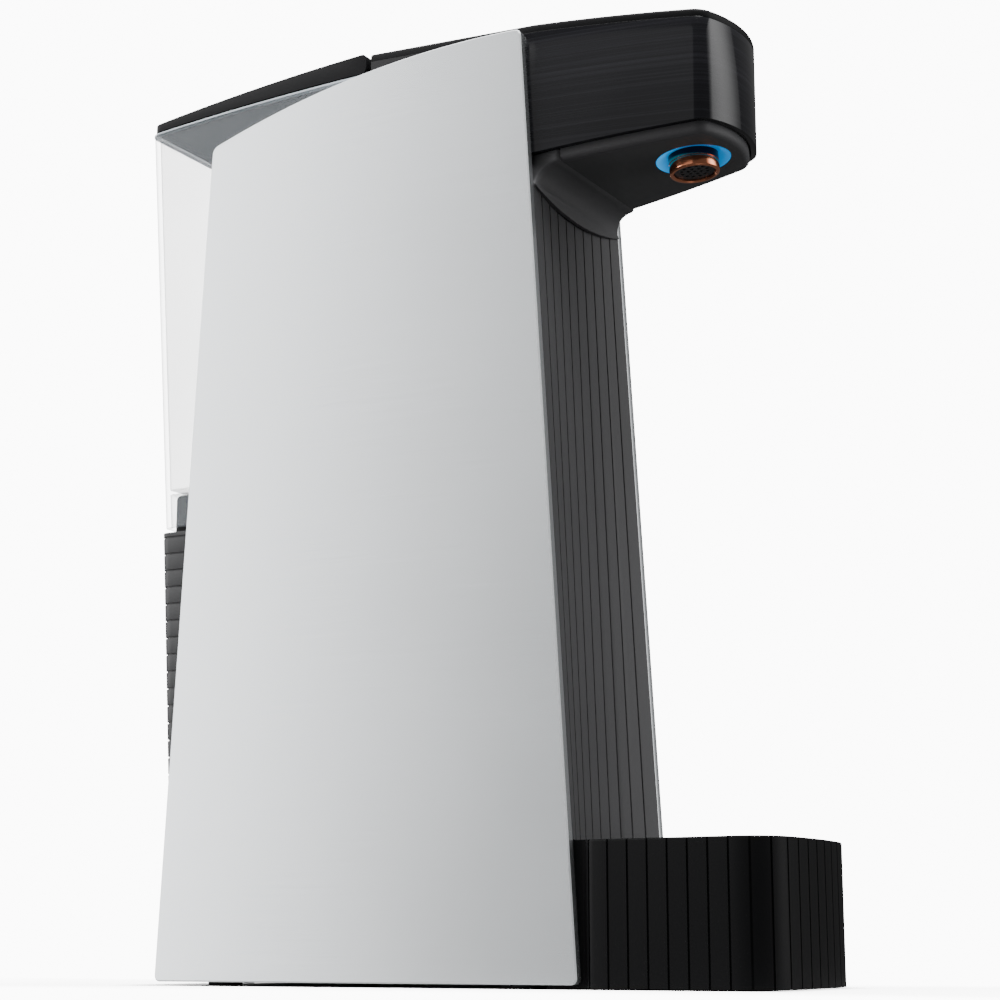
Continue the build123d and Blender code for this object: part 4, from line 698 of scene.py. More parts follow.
def moulded(name, tone, grain, rough, depth, speck=0.25, sheen=0.28):
    """Moulded plastic with a spark-eroded grain and slight colour variation."""
    recipe = Recipe(name, Specular_IOR_Level=sheen)
    texture = recipe.noise(grain, 5.0, 0.65)
    cloud = recipe.noise(14.0, 3.0)
    fleck = recipe.span(texture, 0.0, 1.0, 0.35, 0.75)
    recipe.set("Base Color", recipe.blend(
        fleck * speck + cloud * 0.35, shade(tone, 0.82), shade(tone, 1.45)))
    recipe.set("Roughness", recipe.span(cloud * 0.5 + texture * 0.5, rough[0], rough[1], 0.3, 0.7))
    recipe.relief(texture, 0.35, depth)
    return recipe.material


def clear_plastic(name, tone, clear=0.19, dense=0.90):
    """Clear plastic, denser and greyer where it is seen edge on, and faintly clouded."""
    recipe = Recipe(name, IOR=1.49, Specular_IOR_Level=0.6)
    recipe.material.surface_render_method = "BLENDED"
    cloud = recipe.noise(22.0, 3.0)
    edge = recipe.node("ShaderNodeLayerWeight", {}, {"Blend": 0.30}, output="Facing")
    rim = recipe.span(edge, 0.0, 1.0, 0.60, 0.95)
    recipe.set("Base Color", recipe.blend(rim, recipe.blend(cloud, shade(tone, 0.97), shade(tone, 1.08)),
                                          shade(tone, 0.32)))
    recipe.set("Alpha", recipe.span(edge * 0.9 + cloud * 0.1, clear, dense, 0.25, 1.0))
    recipe.set("Roughness", recipe.span(cloud, 0.05, 0.11, 0.3, 0.7))
    return recipe.material


def polished_copper(name, tone, band, level):
    """Polished copper tone with a dark band above a level, and fine turning lines."""
    recipe = Recipe(name, Metallic=1.0)
    here = recipe.node("ShaderNodeTexCoord", output="Object")
    height = recipe.node("ShaderNodeSeparateXYZ", {}, {0: here}, output="Z")
    upper = recipe.span(height, 0.0, 1.0, level - 0.3 * MM, level + 0.3 * MM)
    turned = recipe.noise(700.0, 3.0, at=recipe.place(scale=(0.05, 0.05, 4.0)))
    copper = recipe.blend(turned, shade(tone, 0.92), shade(tone, 1.08))
    recipe.set("Base Color", recipe.blend(upper, copper, band))
    recipe.set("Roughness", recipe.span(turned, 0.10, 0.19, 0.3, 0.7) + upper * 0.06)
    recipe.relief(turned, 0.05, 0.00005)
    return recipe.material


def lit_ring(name, tone):
    """Blue diffuser with a strong lamp at its left and a weaker one at its right, paler at its rim."""
    recipe = Recipe(name, Roughness=0.22, Emission_Strength=1.0)
    centre = (RING_LOW + RING_HIGH) / 2
    sideways = (0.484, -0.875, 0.0)
    lamps = recipe.node("ShaderNodeVectorMath", {"operation": "DOT_PRODUCT"},
                        {0: recipe.place(offset=-centre), 1: sideways}, output="Value")
    grain = recipe.noise(240.0, 2.0) * 3 * MM
    near, far = 6 * MM, 15 * MM
    left = recipe.span(grain - lamps, 0.0, 1.0, near, far)
    right = recipe.span(grain + lamps, 0.0, 0.45, near, far)
    level_place = recipe.place(scale=(1.0, 1.0, 0.0), offset=(-centre.x, -centre.y, 0.0))
    reach = recipe.node("ShaderNodeVectorMath", {"operation": "LENGTH"}, {0: level_place}, output="Value")
    outward = recipe.span(reach, 0.45, 1.0, 10.5 * MM, 14.5 * MM)
    lamp = left.sum_with("MAXIMUM", right) * outward
    pale = (0.01, 0.34, 0.82)
    recipe.set("Base Color", recipe.blend(lamp, shade(tone, 0.6), pale))
    recipe.set("Emission Color", recipe.blend(lamp, tone, pale))
    return recipe.material


def plain_metal(name, tone, rough=0.3):
    """Rolled or drawn metal with fine lines."""
    recipe = Recipe(name, Metallic=0.95)
    drawn = recipe.noise(420.0, 4.0, at=recipe.place(scale=(0.15, 1.0, 1.0)))
    recipe.set("Base Color", recipe.blend(drawn, shade(tone, 0.85), shade(tone, 1.1)))
    recipe.set("Roughness", recipe.span(drawn, rough - 0.06, rough + 0.10, 0.3, 0.7))
    recipe.relief(drawn, 0.1, 0.00005)
    return recipe.material


def circuit_green(name, tone):
    """Solder mask over copper runs."""
    recipe = Recipe(name, Specular_IOR_Level=0.6)
    tracks = recipe.node(
        "ShaderNodeTexVoronoi", {"distance": "MANHATTAN"}, {"Vector": recipe.place(), "Scale": 420.0}
    )
    line = recipe.span(tracks, 0.0, 1.0, 0.42, 0.50)
    recipe.set("Base Color", recipe.blend(line, shade(tone, 0.8), shade(tone, 1.9)))
    recipe.set("Roughness", recipe.span(line, 0.30, 0.42))
    recipe.relief(line, 0.2, 0.00005)
    return recipe.material


def silicone(name, tone):
    """Milky silicone tube."""
    recipe = Recipe(name, Specular_IOR_Level=0.5)
    cloud = recipe.noise(160.0, 3.0)
    recipe.set("Base Color", recipe.blend(cloud, shade(tone, 0.86), shade(tone, 1.04)))
    recipe.set("Roughness", recipe.span(cloud, 0.25, 0.38, 0.3, 0.7))
    recipe.set("Alpha", recipe.span(cloud, 0.72, 0.86, 0.3, 0.7))
    return recipe.material


def make_finishes():
    """Every finish by its slot name."""
    tones = bpy.context.scene.dispenser_finish
    collar_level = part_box("nozzle_collar")[0].z + bpy.context.scene.dispenser_head.collar_stand
    return {
        "panel": sprayed_metal("satin_silver", tones.silver),
        # The chamfer's finish is the silver made lighter and less metallic: a painted highlight.
        "panel_edge": painted_highlight_edge("cut_edge", tones.silver),
        "gloss": piano_gloss("piano_black", tones.gloss),
        "matte": moulded("matte_charcoal", tones.charcoal, 3000.0, (0.46, 0.58), 0.00006),
        "column": moulded("satin_column", tones.column, 3400.0, (0.40, 0.52), 0.00003),
        "black": moulded("satin_black", tones.tray, 3000.0, (0.40, 0.52), 0.00003, sheen=0.07),
        "lid": moulded("satin_lid", (0.010, 0.010, 0.011), 3200.0, (0.40, 0.52), 0.00003, sheen=0.08),
        "housing": moulded("satin_housing", shade(tones.column, 0.65), 3000.0, (0.42, 0.54), 0.00003,
                           sheen=0.2),
        "button": moulded("button_black", (0.020, 0.020, 0.022), 2400.0, (0.18, 0.28), 0.00002),
        "rubber": moulded("foot_rubber", (0.020, 0.020, 0.020), 1800.0, (0.70, 0.85), 0.0001),
        "inner": moulded("inner_grey", (0.060, 0.060, 0.063), 2400.0, (0.45, 0.6), 0.00004),
        "white": moulded("inner_white", (0.62, 0.62, 0.60), 2400.0, (0.4, 0.55), 0.00004, 0.1),
        "filter": moulded("filter_white", (0.70, 0.71, 0.72), 2400.0, (0.35, 0.5), 0.00004, 0.1),
        "tank": clear_plastic("clear_tank", tones.clear),
        # The rim's finish is the clear plastic made 2.5 times lighter and nearly opaque: a painted highlight along
        # the tank's rim.
        "rim": clear_plastic("tank_rim", shade(tones.clear, 2.5), 0.72, 0.95),
        "copper": polished_copper("copper_collar", tones.copper, tones.plum, collar_level),
        "ring": lit_ring("lit_ring", tones.light),
        "steel": plain_metal("plain_steel", (0.55, 0.56, 0.57)),
        "frame": plain_metal("zinc_sheet", (0.30, 0.31, 0.32), 0.42),
        "alu": plain_metal("cast_aluminium", (0.62, 0.63, 0.65), 0.36),
        "board": circuit_green("circuit_board", (0.015, 0.10, 0.045)),
        "tube": silicone("milky_silicone", (0.75, 0.77, 0.78)),
    }


FINISHES = {}


def finish(name):
    """One finish, made with the others when it is first asked for."""
    if not FINISHES:
        FINISHES.update(make_finishes())
    return FINISHES[name]


# ---------------------------------------------------------------------------
# Pieces
# ---------------------------------------------------------------------------
HAIR = 0.15 * MM                          # gap between pieces that are fixed together
SLIDE_GAP = 0.35 * MM                     # gap between pieces that slide or lift
LAP = 1.2 * MM                            # how far the cove reaches behind the column's face
FAR = 40 * MM                             # how far a cutter reaches past what it cuts


def nozzle_frame():
    """Centre of the nozzle on the underside, and its axis upwards."""
    collar_low, collar_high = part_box("nozzle_collar")
    middle = (collar_low + collar_high) / 2
    axis = Vector((0, bpy.context.scene.dispenser_head.rise, 1)).normalized()
    sizes = bpy.context.scene.dispenser_head
    half_length = (collar_high.z - collar_low.z - 2 * sizes.collar_radius * axis.y) / axis.z / 2
    low_end = middle - axis * half_length
    return low_end + axis * sizes.collar_stand, axis


class DISPENSER_OT_side_panels(bpy.types.Operator):
    """Two satin metal side panels with a chamfer painted light as a highlight"""

    bl_idname = "dispenser.side_panels"
    bl_label = "Side panels"

    def execute(self, context):
        sizes = context.scene.dispenser_body
        low = PANEL_LOW.z
        front_corner = (face_line(sizes.front_top), sizes.front_top)
        rear_corner = (REAR_FOOT - sizes.rear_rake, sizes.rear_top)
        chord = Vector(rear_corner) - Vector(front_corner)
        sag = sizes.crown_radius - math.sqrt(sizes.crown_radius**2 - (chord.length / 2) ** 2)
        downward = Vector((chord.y, -chord.x)).normalized()
        crown = (Vector(front_corner) + Vector(rear_corner)) / 2 - downward * sag
        corners = [(FRONT, low), front_corner, rear_corner, (REAR_FOOT, low)]
        top = arc_between(front_corner, tuple(crown), rear_corner, 34)
        outline = [(FRONT, low)] + top + [(REAR_FOOT, low)]
        for side, name in ((-1, "left"), (1, "right")):
            inner, outer = side * BODY_HALF, side * PANEL_HIGH.x
            panel = profile_slab(f"panel_{name}", outline, inner, outer)
            with Shaping(panel) as shape:
                shape.choose("edges", lambda e: abs(e.verts[0].co.x - e.verts[1].co.x) > 1 * MM and any(
                    math.dist((e.verts[0].co.y, e.verts[0].co.z), corner) < 1e-5 for corner in corners))
                shape.bevel(sizes.panel_corner * 0.86, 6)
                shape.choose("edges", lambda e: all(abs(v.co.x - outer) < 1e-6 for v in e.verts))
                shape.bevel(sizes.panel_chamfer, 1)
                shape.choose("edges", lambda e: all(abs(v.co.x - inner) < 1e-6 for v in e.verts))
                shape.bevel(0.25 * MM, 2)
            for coat in ("panel", "panel_edge"):
                panel.data.materials.append(finish(coat))
            with Shaping(panel) as shape:
                # The chamfer faces take the lighter edge finish, a painted highlight along the panel's edges.
                shape.choose("faces", lambda f: 0.4 < abs(f.normal.x) < 0.95)
                panel.active_material_index = 1
                bpy.ops.object.material_slot_assign()
            smooth(panel, 30.0)
            finish_piece(panel, "machine", finish("panel"), "panel", f"side_panel_{name}")
        return {"FINISHED"}


class DISPENSER_OT_column(bpy.types.Operator):
    """Hollow front column with upright grooves"""

    bl_idname = "dispenser.column"
    bl_label = "Front column"

    def execute(self, context):
        sizes = context.scene.dispenser_body
        head = context.scene.dispenser_head
        low, high = COLUMN_LOW.z, COLUMN_HIGH.z
        half = COLUMN_HIGH.x
        wall = sizes.column_wall
        plate = blank("column", (-half, 0, low), (half, wall, high))
        pitch = 2 * BODY_HALF / (sizes.column_grooves + 1)
        grooves = [(i - (sizes.column_grooves - 1) / 2) * pitch for i in range(sizes.column_grooves)]
        lines = {-half, half}
        for x in grooves + [grooves[0] - pitch, grooves[-1] + pitch]:
            for step in (-sizes.groove_width / 2, sizes.groove_width / 2, pitch * 0.35, pitch * 0.65):
                if abs(x + step) < half - 0.2 * MM:
                    lines.add(x + step)
        with Shaping(plate) as shape:
            for x in sorted(lines)[1:-1]:
                shape.cut((x, 0, low), (1, 0, 0), drop=False)
            for x in sorted(lines):
                for z, dip in ((low, sizes.dip_foot), (high, sizes.dip_top)):
                    shape.choose("verts", lambda v: abs(v.co.x - x) < 1e-5 and abs(v.co.z - z) < 1e-5)
                    shape.push(y=face_line(z) + dip * (1 - (x / half) ** 2))
            for x in grooves:
                shape.choose("faces", lambda f: f.normal.y < -0.8
                             and abs(f.calc_center_median().x - x) < sizes.groove_width / 2)
                shape.pull_out(y=sizes.groove_depth)
            shape.tidy()
        arch_low = underside_level(face_line(HEAD_LOW) - head.cove_proud) - head.cove_drop - HAIR
        lap = [(half * 1.02, arch_low + head.cove_arch), (half * 1.02, high + FAR),
               (-half * 1.02, high + FAR), (-half * 1.02, arch_low + head.cove_arch)]
        lap += arc_between(lap[3], (0, arch_low), lap[0], 32)[1:-1]
        lap_cutter = slab("lap", [(x, FRONT, z) for x, z in lap],
                          (0, face_line(HEAD_LOW) + LAP - FRONT, 0))
        carve(plate, lap_cutter)
        flange = 2 * MM
        flanges = []
        for side in (-1, 1):
            x = side * (BODY_HALF - 2 * MM - HAIR)
            section = [(face_line(z) + reach, z) for z, reach in
                       ((low, 2.4 * MM), (low, 22.4 * MM), (high, 22.4 * MM), (high, 2.4 * MM))]
            flanges.append(profile_slab("flange", section, x, x - side * flange))
        soften(plate, 0.13 * MM, 2)
        plate = join("column", [plate] + flanges)
        finish_piece(plate, "machine", finish("column"), "column", "front_column")
        return {"FINISHED"}


class DISPENSER_OT_head_shell(bpy.types.Operator):
    """Gloss shell of the head, satin where it runs back between the panels"""

    bl_idname = "dispenser.head_shell"
    bl_label = "Head shell"

    def execute(self, context):
        sizes = context.scene.dispenser_head
        shell = plan_slab("head_shell_gloss", head_outline(0.0, COVER_BACK), HEAD_LOW, COVER_HIGH.z)
        core = plan_slab("core", head_outline(sizes.wall, COVER_BACK + FAR),
                         HEAD_LOW - FAR, COVER_HIGH.z + FAR)
        seam = sizes.cover_thick + 0.03 * MM
        with Shaping(shell) as shape:
            shape.cut((0, HEAD_START, HEAD_LOW), (0, -sizes.rise, -1))
            shape.cut((0, COVER_BACK, COVER_BACK_TOP - seam), (0, -sizes.cover_slope, 1))
            shape.tidy()
        carve(shell, core)
        soften(shell, 0.15 * MM, 2)
        finish_piece(shell, "machine", finish("gloss"), "gloss", "head_shell")
        satin_from = face_line(COVER_HIGH.z) + sizes.satin_back
        with Shaping(shell) as shape:
            shape.cut((0, satin_from, 0), (0, 1, 0), drop=False)
        shell.data.materials.append(finish("lid"))
        for face in shell.data.polygons:
            face.material_index = 1 if face.center.y > satin_from else 0
        return {"FINISHED"}


class DISPENSER_OT_top_cover(bpy.types.Operator):
    """Flat top cover with its button holes"""

    bl_idname = "dispenser.top_cover"
    bl_label = "Top cover"

    def execute(self, context):
        sizes = context.scene.dispenser_head
        cover = plan_slab("top_cover_gloss", head_outline(0.0, COVER_BACK), HEAD_LOW, COVER_HIGH.z + FAR)
        normal = Vector((0, -sizes.cover_slope, 1)).normalized()
        with Shaping(cover) as shape:
            shape.cut((0, COVER_BACK, COVER_BACK_TOP), normal)
            shape.cut((0, COVER_BACK, COVER_BACK_TOP - sizes.cover_thick), -normal)
            shape.tidy()
            shape.choose("edges", lambda e: len(e.link_faces) == 2
                         and any(f.normal.z > 0.9 for f in e.link_faces)
                         and any(abs(f.normal.z) < 0.5 for f in e.link_faces))
            shape.bevel(sizes.cover_edge, 5)
            shape.choose("edges", lambda e: len(e.link_faces) == 2
                         and any(f.normal.z < -0.9 for f in e.link_faces)
                         and any(abs(f.normal.z) < 0.5 for f in e.link_faces))
            shape.bevel(0.12 * MM, 2)
        holes = []
        y = FRONT - sizes.button_reach
        for i in (-1, 0, 1):
            spot = Vector((i * sizes.button_pitch, y, cover_top(y)))
            holes.append(disc("hole", sizes.button_radius + SLIDE_GAP, 20 * MM, spot, normal, 64))
        carve(cover, *holes)
        smooth(cover, 30.0)
        finish_piece(cover, "machine", finish("lid"), "lid", "top_cover")
        return {"FINISHED"}


class DISPENSER_OT_underside(bpy.types.Operator):
    """Matte underside of the head, with a rounded skirt, and the cove behind it"""

    bl_idname = "dispenser.underside"
    bl_label = "Underside and cove"

    def execute(self, context):
        sizes = context.scene.dispenser_head
        lip = face_line(HEAD_LOW) - sizes.cove_proud
        start = lip - sizes.cove_radius
        back = start - 0.02 * MM
        slope = Vector((0, sizes.rise, 1)).normalized()
        height, wall, floor = 8 * MM, 2.2 * MM, 2.4 * MM
        tray_piece = plan_slab("underside_skirt", head_outline(sizes.underside_inset, back + FAR),
                               HEAD_LOW - FAR, HEAD_LOW + FAR)
        with Shaping(tray_piece) as shape:
            shape.cut((0, back, HEAD_LOW), (0, 1, 0))
            shape.cut((0, back, underside_level(back)), -slope)
            shape.cut((0, back, underside_level(back) + height), slope)
            shape.tidy()
            shape.choose("edges", lambda e: len(e.link_faces) == 2
                         and any(f.normal.z < -0.9 for f in e.link_faces)
                         and all(f.normal.y < 0.5 for f in e.link_faces))
            shape.bevel(sizes.underside_edge, 6)
        pocket = plan_slab("pocket", head_outline(sizes.underside_inset + wall, back + FAR),
                           HEAD_LOW - FAR, HEAD_LOW + FAR)
        with Shaping(pocket) as shape:
            shape.cut((0, back - wall, HEAD_LOW), (0, 1, 0))
            shape.cut((0, back, underside_level(back) + floor), -slope)
            shape.tidy()
        carve(tray_piece, pocket)
        spot, axis = nozzle_frame()
        carve(tray_piece, disc("hole", sizes.ring_radius + HAIR, 30 * MM, spot, axis, 96))
        smooth(tray_piece, 30.0)
        finish_piece(tray_piece, "machine", finish("matte"), "matte", "head_underside")

        half = COLUMN_HIGH.x
        top = underside_level(lip)
        arch_low = top - sizes.cove_drop
        bend = arc_points((start, top - sizes.cove_radius), sizes.cove_radius, 0.0, math.pi / 2, 14)
        bend[-1] = (start, underside_level(start))
        back_top = face_line(HEAD_LOW) + LAP
        section = [(start, shell_low(start) - HAIR), (back_top, HEAD_LOW - HAIR),
                   (face_line(arch_low) + LAP, arch_low), (lip, arch_low)] + bend
        cove = profile_slab("cove_moulding", section, -half, half)
        with Shaping(cove) as shape:
            for z in sorted({round(point[1], 6) for point in section}):
                risen = (z - arch_low - sizes.cove_arch) / (top - arch_low - sizes.cove_arch)
                share = min(1.0, max(0.0, risen))
                for side in (-1, 1):
                    shape.choose("verts", lambda v: v.co.x * side > 0 and abs(v.co.z - z) < 2e-6)
                    shape.push(x=-side * sizes.underside_inset * math.sin(share * math.pi / 2))
            shape.choose("edges", lambda e: len(e.link_faces) == 2
                         and any(abs(f.normal.x) > 0.7 for f in e.link_faces)
                         and all(v.co.y < lip + 1e-6 and v.co.z > arch_low + 1e-6 for v in e.verts)
                         and not all(v.co.z > shell_low(v.co.y) - 1 * MM for v in e.verts))
            shape.bevel(sizes.underside_edge, 6)
        below = [(half * 1.02, arch_low + sizes.cove_arch), (half * 1.02, arch_low - FAR),
                 (-half * 1.02, arch_low - FAR), (-half * 1.02, arch_low + sizes.cove_arch)]
        below += arc_between(below[3], (0, arch_low), below[0], 40)[1:-1]
        carve(cove, slab("arch", [(x, FRONT, z) for x, z in below], (0, FAR, 0)))
        with Shaping(cove) as shape:
            shape.choose("edges", lambda e: len(e.link_faces) == 2
                         and e.link_faces[0].normal.dot(e.link_faces[1].normal) < 0.5
                         and all(v.co.z < arch_low + sizes.cove_arch + 0.5 * MM for v in e.verts))
            shape.bevel(0.35 * MM, 3)
        smooth(cove, 38.0)
        finish_piece(cove, "machine", finish("matte"), "matte", "cove")
        return {"FINISHED"}


class DISPENSER_OT_nozzle(bpy.types.Operator):
    """Light ring and copper-toned collar"""

    bl_idname = "dispenser.nozzle"
    bl_label = "Nozzle"

    def execute(self, context):
        sizes = context.scene.dispenser_head
        spot, axis = nozzle_frame()
        bore = sizes.collar_radius + HAIR
        outer = sizes.ring_radius
        section = [(bore, 1.6 * MM), (outer - 1.2 * MM, 0.25 * MM), (outer - 0.8 * MM, 0.0),
                   (outer - 0.15 * MM, 0.0), (outer, 0.15 * MM), (outer, 3.0 * MM), (bore, 4.6 * MM)]
        ring = ringed("light_ring", section, spot, axis)
        smooth(ring, 25.0)
        finish_piece(ring, "machine", finish("ring"), "ring", "led_ring")

        radius, wall, stand, tail = sizes.collar_radius, sizes.collar_wall, sizes.collar_stand, 7.0 * MM
        lip = [(radius - 0.9 * MM * (1 - math.cos(a)), -stand + 0.9 * MM * (1 - math.sin(a)))
               for a in (math.pi / 12 * i for i in range(7))]
        groove = [(radius, -1.5 * MM), (radius - 0.3 * MM, -1.7 * MM), (radius - 0.3 * MM, -2.0 * MM),
                  (radius, -2.2 * MM)]
        inner = radius - wall
        section = [(radius, tail)] + groove + lip
        section += [(inner + 0.5 * MM, -stand), (inner, -stand + 0.5 * MM), (inner, tail)]
        collar = ringed("collar", section, spot, axis)
        smooth(collar, 25.0)
        finish_piece(collar, "machine", finish("copper"), "copper", "nozzle_collar")
        return {"FINISHED"}


class DISPENSER_OT_buttons(bpy.types.Operator):
    """Three push buttons with dished caps"""

    bl_idname = "dispenser.buttons"
    bl_label = "Buttons"

    def execute(self, context):
        sizes = context.scene.dispenser_head
        normal = Vector((0, -sizes.cover_slope, 1)).normalized()
        radius = sizes.button_radius
        for i, name in ((-1, "left"), (0, "middle"), (1, "right")):
            y = FRONT - sizes.button_reach
            spot = Vector((i * sizes.button_pitch, y, cover_top(y)))
            dish = [(radius * share, 0.6 * MM - 0.35 * MM * (1 - share**2)) for share in (0.0, 0.3, 0.6, 0.8)]
            flange, stem = radius + 1.2 * MM, 2.0 * MM
            section = dish + [
                (radius - 0.5 * MM, 0.6 * MM), (radius - 0.15 * MM, 0.45 * MM), (radius, 0.1 * MM),
                (radius, -3.95 * MM), (flange, -3.95 * MM), (flange, -4.95 * MM),
                (stem, -4.95 * MM), (stem, -5.95 * MM), (0.0, -5.95 * MM)]
            cap = ringed(f"cap_{name}", section, spot, normal, 64)
            smooth(cap, 30.0)
            finish_piece(cap, f"button_{name}_body", finish("button"), "button", f"button_{name}")
        return {"FINISHED"}


class DISPENSER_OT_tray(bpy.types.Operator):
    """Drip tray with upright grooves round its face"""

    bl_idname = "dispenser.tray"
    bl_label = "Drip tray"

    def execute(self, context):
        sizes = context.scene.dispenser_body
        low, high = TRAY_LOW.z, TRAY_HIGH.z
        outline = tray_outline(0.0)
        tray = plan_slab("tray_ribbed", outline, low, high)
        with Shaping(tray) as shape:
            shape.choose("edges", lambda e: len(e.link_faces) == 2
                         and any(f.normal.z > 0.9 for f in e.link_faces)
                         and any(abs(f.normal.z) < 0.5 for f in e.link_faces))
            shape.bevel(0.8 * MM, 4)
        inner_half = BODY_HALF - SLIDE_GAP
        start = FRONT - sizes.tray_rear_corner
        plug_depth, tongue_half, tongue_top = 14.5 * MM, 29 * MM, 24 * MM
        plug = blank("plug", (-inner_half, start, low), (inner_half, FRONT + plug_depth, high))
        tongue = blank("tongue", (-tongue_half, FRONT + 10 * MM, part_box("base_plate")[1].z + SLIDE_GAP),
                       (tongue_half, TRAY_HIGH.y, tongue_top))
        carve(tray, plug, operation="UNION")
        carve(tray, tongue, operation="UNION")
        cutters = []
        depth = sizes.groove_depth
        for spot, way in walk(outline, sizes.tray_groove_pitch, 7.0 * MM):
            side = Vector((way.y, -way.x))
            corners = [spot + way * a * sizes.groove_width / 2 + side * b * depth
                       for a, b in ((-1, -1), (1, -1), (1, 1), (-1, 1))]
            cutters.append(plan_slab("groove", [tuple(c) for c in corners], low - 1 * MM, high + 1 * MM))
        carve(tray, *cutters)
        ledge_level = GRATE_LOW.z - 0.3 * MM
        well = tray_outline(sizes.tray_wall + sizes.tray_ledge)
        carve(tray, plan_slab("well", well, sizes.tray_floor, high + FAR))
        carve(tray, plan_slab("seat", tray_outline(sizes.tray_wall), ledge_level, high + FAR))
        soften(tray, 0.12 * MM, 2, 50.0)
        finish_piece(tray, "tray", finish("black"), "black", "drip_tray")
        return {"FINISHED"}


class DISPENSER_OT_grate(bpy.types.Operator):
    """Slotted grate that lies in the tray"""

    bl_idname = "dispenser.grate"
    bl_label = "Grate"

    def execute(self, context):
        sizes = context.scene.dispenser_body
        edge = sizes.tray_wall + SLIDE_GAP
        grate = plan_slab("grate_slotted", tray_outline(edge), GRATE_LOW.z, GRATE_HIGH.z)
        border = 5.65 * MM
        field = plan_slab("field", tray_outline(edge + border),
                          GRATE_LOW.z - 2 * MM, GRATE_HIGH.z + 2 * MM)
        pitch = sizes.grate_bar + sizes.grate_slot
        length_y = GRATE_HIGH.y - GRATE_LOW.y
        bars = [blank("bar", (i * pitch - sizes.grate_bar / 2, GRATE_LOW.y - FAR, GRATE_LOW.z - 3 * MM),
                      (i * pitch + sizes.grate_bar / 2, GRATE_HIGH.y + FAR, GRATE_HIGH.z + 3 * MM))
                for i in range(-8, 9)]
        carve(field, *bars)
        for share in (1 / 3, 2 / 3):
            y = GRATE_LOW.y + length_y * share
            carve(field, blank("cross", (-FAR - BODY_HALF, y - sizes.grate_bar / 2, GRATE_LOW.z - 3 * MM),
                               (FAR + BODY_HALF, y + sizes.grate_bar / 2, GRATE_HIGH.z + 3 * MM)))
        carve(grate, field)
        soften(grate, 0.3 * MM, 2, 50.0)
        finish_piece(grate, "grate", finish("black"), "black", "drip_grate")
        return {"FINISHED"}


def tank_side(inset, low, lift):
    """Side outline of the tank, set in by inset, from a height up to its rim and beyond by lift."""
    sizes = bpy.context.scene.dispenser_tank
    rim_front = sizes.rim_front
    rim_rear = rim_front - sizes.rim_fall
    front = TANK_LOW.y + inset
    rear = TANK_HIGH.y - inset
    middle = ((front + rear) / 2, (rim_front + rim_rear) / 2 + sizes.rim_bow + lift)
    rim = arc_between((front, rim_front + lift), middle, (rear, rim_rear + lift), 22)
    return [(front, low)] + rim + [(rear - sizes.lean * (rim_rear - low), low)]


def tank_form(name, inset, low, lift=0.0):
    """The tank's solid form with rounded upright corners."""
    half = TANK_HIGH.x - inset
    form = profile_slab(name, tank_side(inset, low, lift), -half, half)
    with Shaping(form) as shape:
        shape.choose("edges", lambda e: abs(e.verts[0].co.z - e.verts[1].co.z) > 50 * MM)
        shape.bevel(bpy.context.scene.dispenser_tank.corner - inset, 8)
    return form


class DISPENSER_OT_tank(bpy.types.Operator):
    """Clear tank with a skirt, a rim bead and two hinge ears"""

    bl_idname = "dispenser.tank"
    bl_label = "Tank"

    def execute(self, context):
        sizes = context.scene.dispenser_tank
        bottom = TANK_LOW.z
        tank_floor = bottom + sizes.skirt
        valve_low, valve_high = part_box("tank_valve")
        valve = (valve_low + valve_high) / 2
        spigot = (valve_high.x - valve_low.x) / 2 - 1.5 * MM
        tank = tank_form("tank_clear", sizes.rim_proud, bottom, -sizes.rim_height)
        carve(tank, tank_form("hollow", sizes.wall, tank_floor, 3 * MM))
        skirt_space = tank_form("skirt_space", sizes.wall, bottom - 1 * MM)
        with Shaping(skirt_space) as shape:
            shape.cut((0, 0, tank_floor - sizes.floor_thick), (0, 0, 1))
            shape.tidy()
        carve(tank, skirt_space)
        spigot_low = valve_low.z - 1 * MM
        spigot_high = tank_floor - 1 * MM
        stub = disc("spigot", spigot, spigot_high - spigot_low,
                    (valve.x, valve.y, (spigot_high + spigot_low) / 2), sides=64)
        carve(tank, stub, operation="UNION")
        carve(tank, disc("bore", spigot - sizes.wall, 30 * MM, (valve.x, valve.y, tank_floor), sides=64))
        hinge_y, hinge_z = (PIN_LOW.y + PIN_HIGH.y) / 2, (PIN_LOW.z + PIN_HIGH.z) / 2
        radius = sizes.ear_radius
        crown = arc_points((hinge_y, hinge_z), radius, 0.0, math.pi, 20)
        ear_foot = sizes.rim_front - 7 * MM
        ear = crown + [(hinge_y - radius, ear_foot), (hinge_y + radius, ear_foot)]
        for side in (-1, 1):
            x = side * sizes.ear_offset
            lug = profile_slab("ear", ear, x - sizes.ear_thick / 2, x + sizes.ear_thick / 2)
            carve(tank, lug, operation="UNION")
            carve(tank, disc("pin_hole", PIN_RADIUS + 0.3 * MM, 8 * MM, (x, hinge_y, hinge_z),
                             (1, 0, 0), 40))
        rim = tank_form("rim", 0.0, tank_floor)
        carve(rim, tank_form("below", -1 * MM, bottom, -sizes.rim_height))
        carve(rim, tank_form("hollow", sizes.wall + sizes.rim_proud, bottom, 3 * MM))
        # The rim band takes the lighter rim finish, a painted highlight along the tank's rim.
        for piece, coat in ((tank, "tank"), (rim, "rim")):
            soften(piece, 0.3 * MM, 2, 40.0)
            piece.data.materials.clear()
            piece.data.materials.append(finish(coat))
        tank = join("tank_clear", [tank, rim])
        finish_piece(tank, "tank", finish("tank"), "tank", "tank_body")
        return {"FINISHED"}


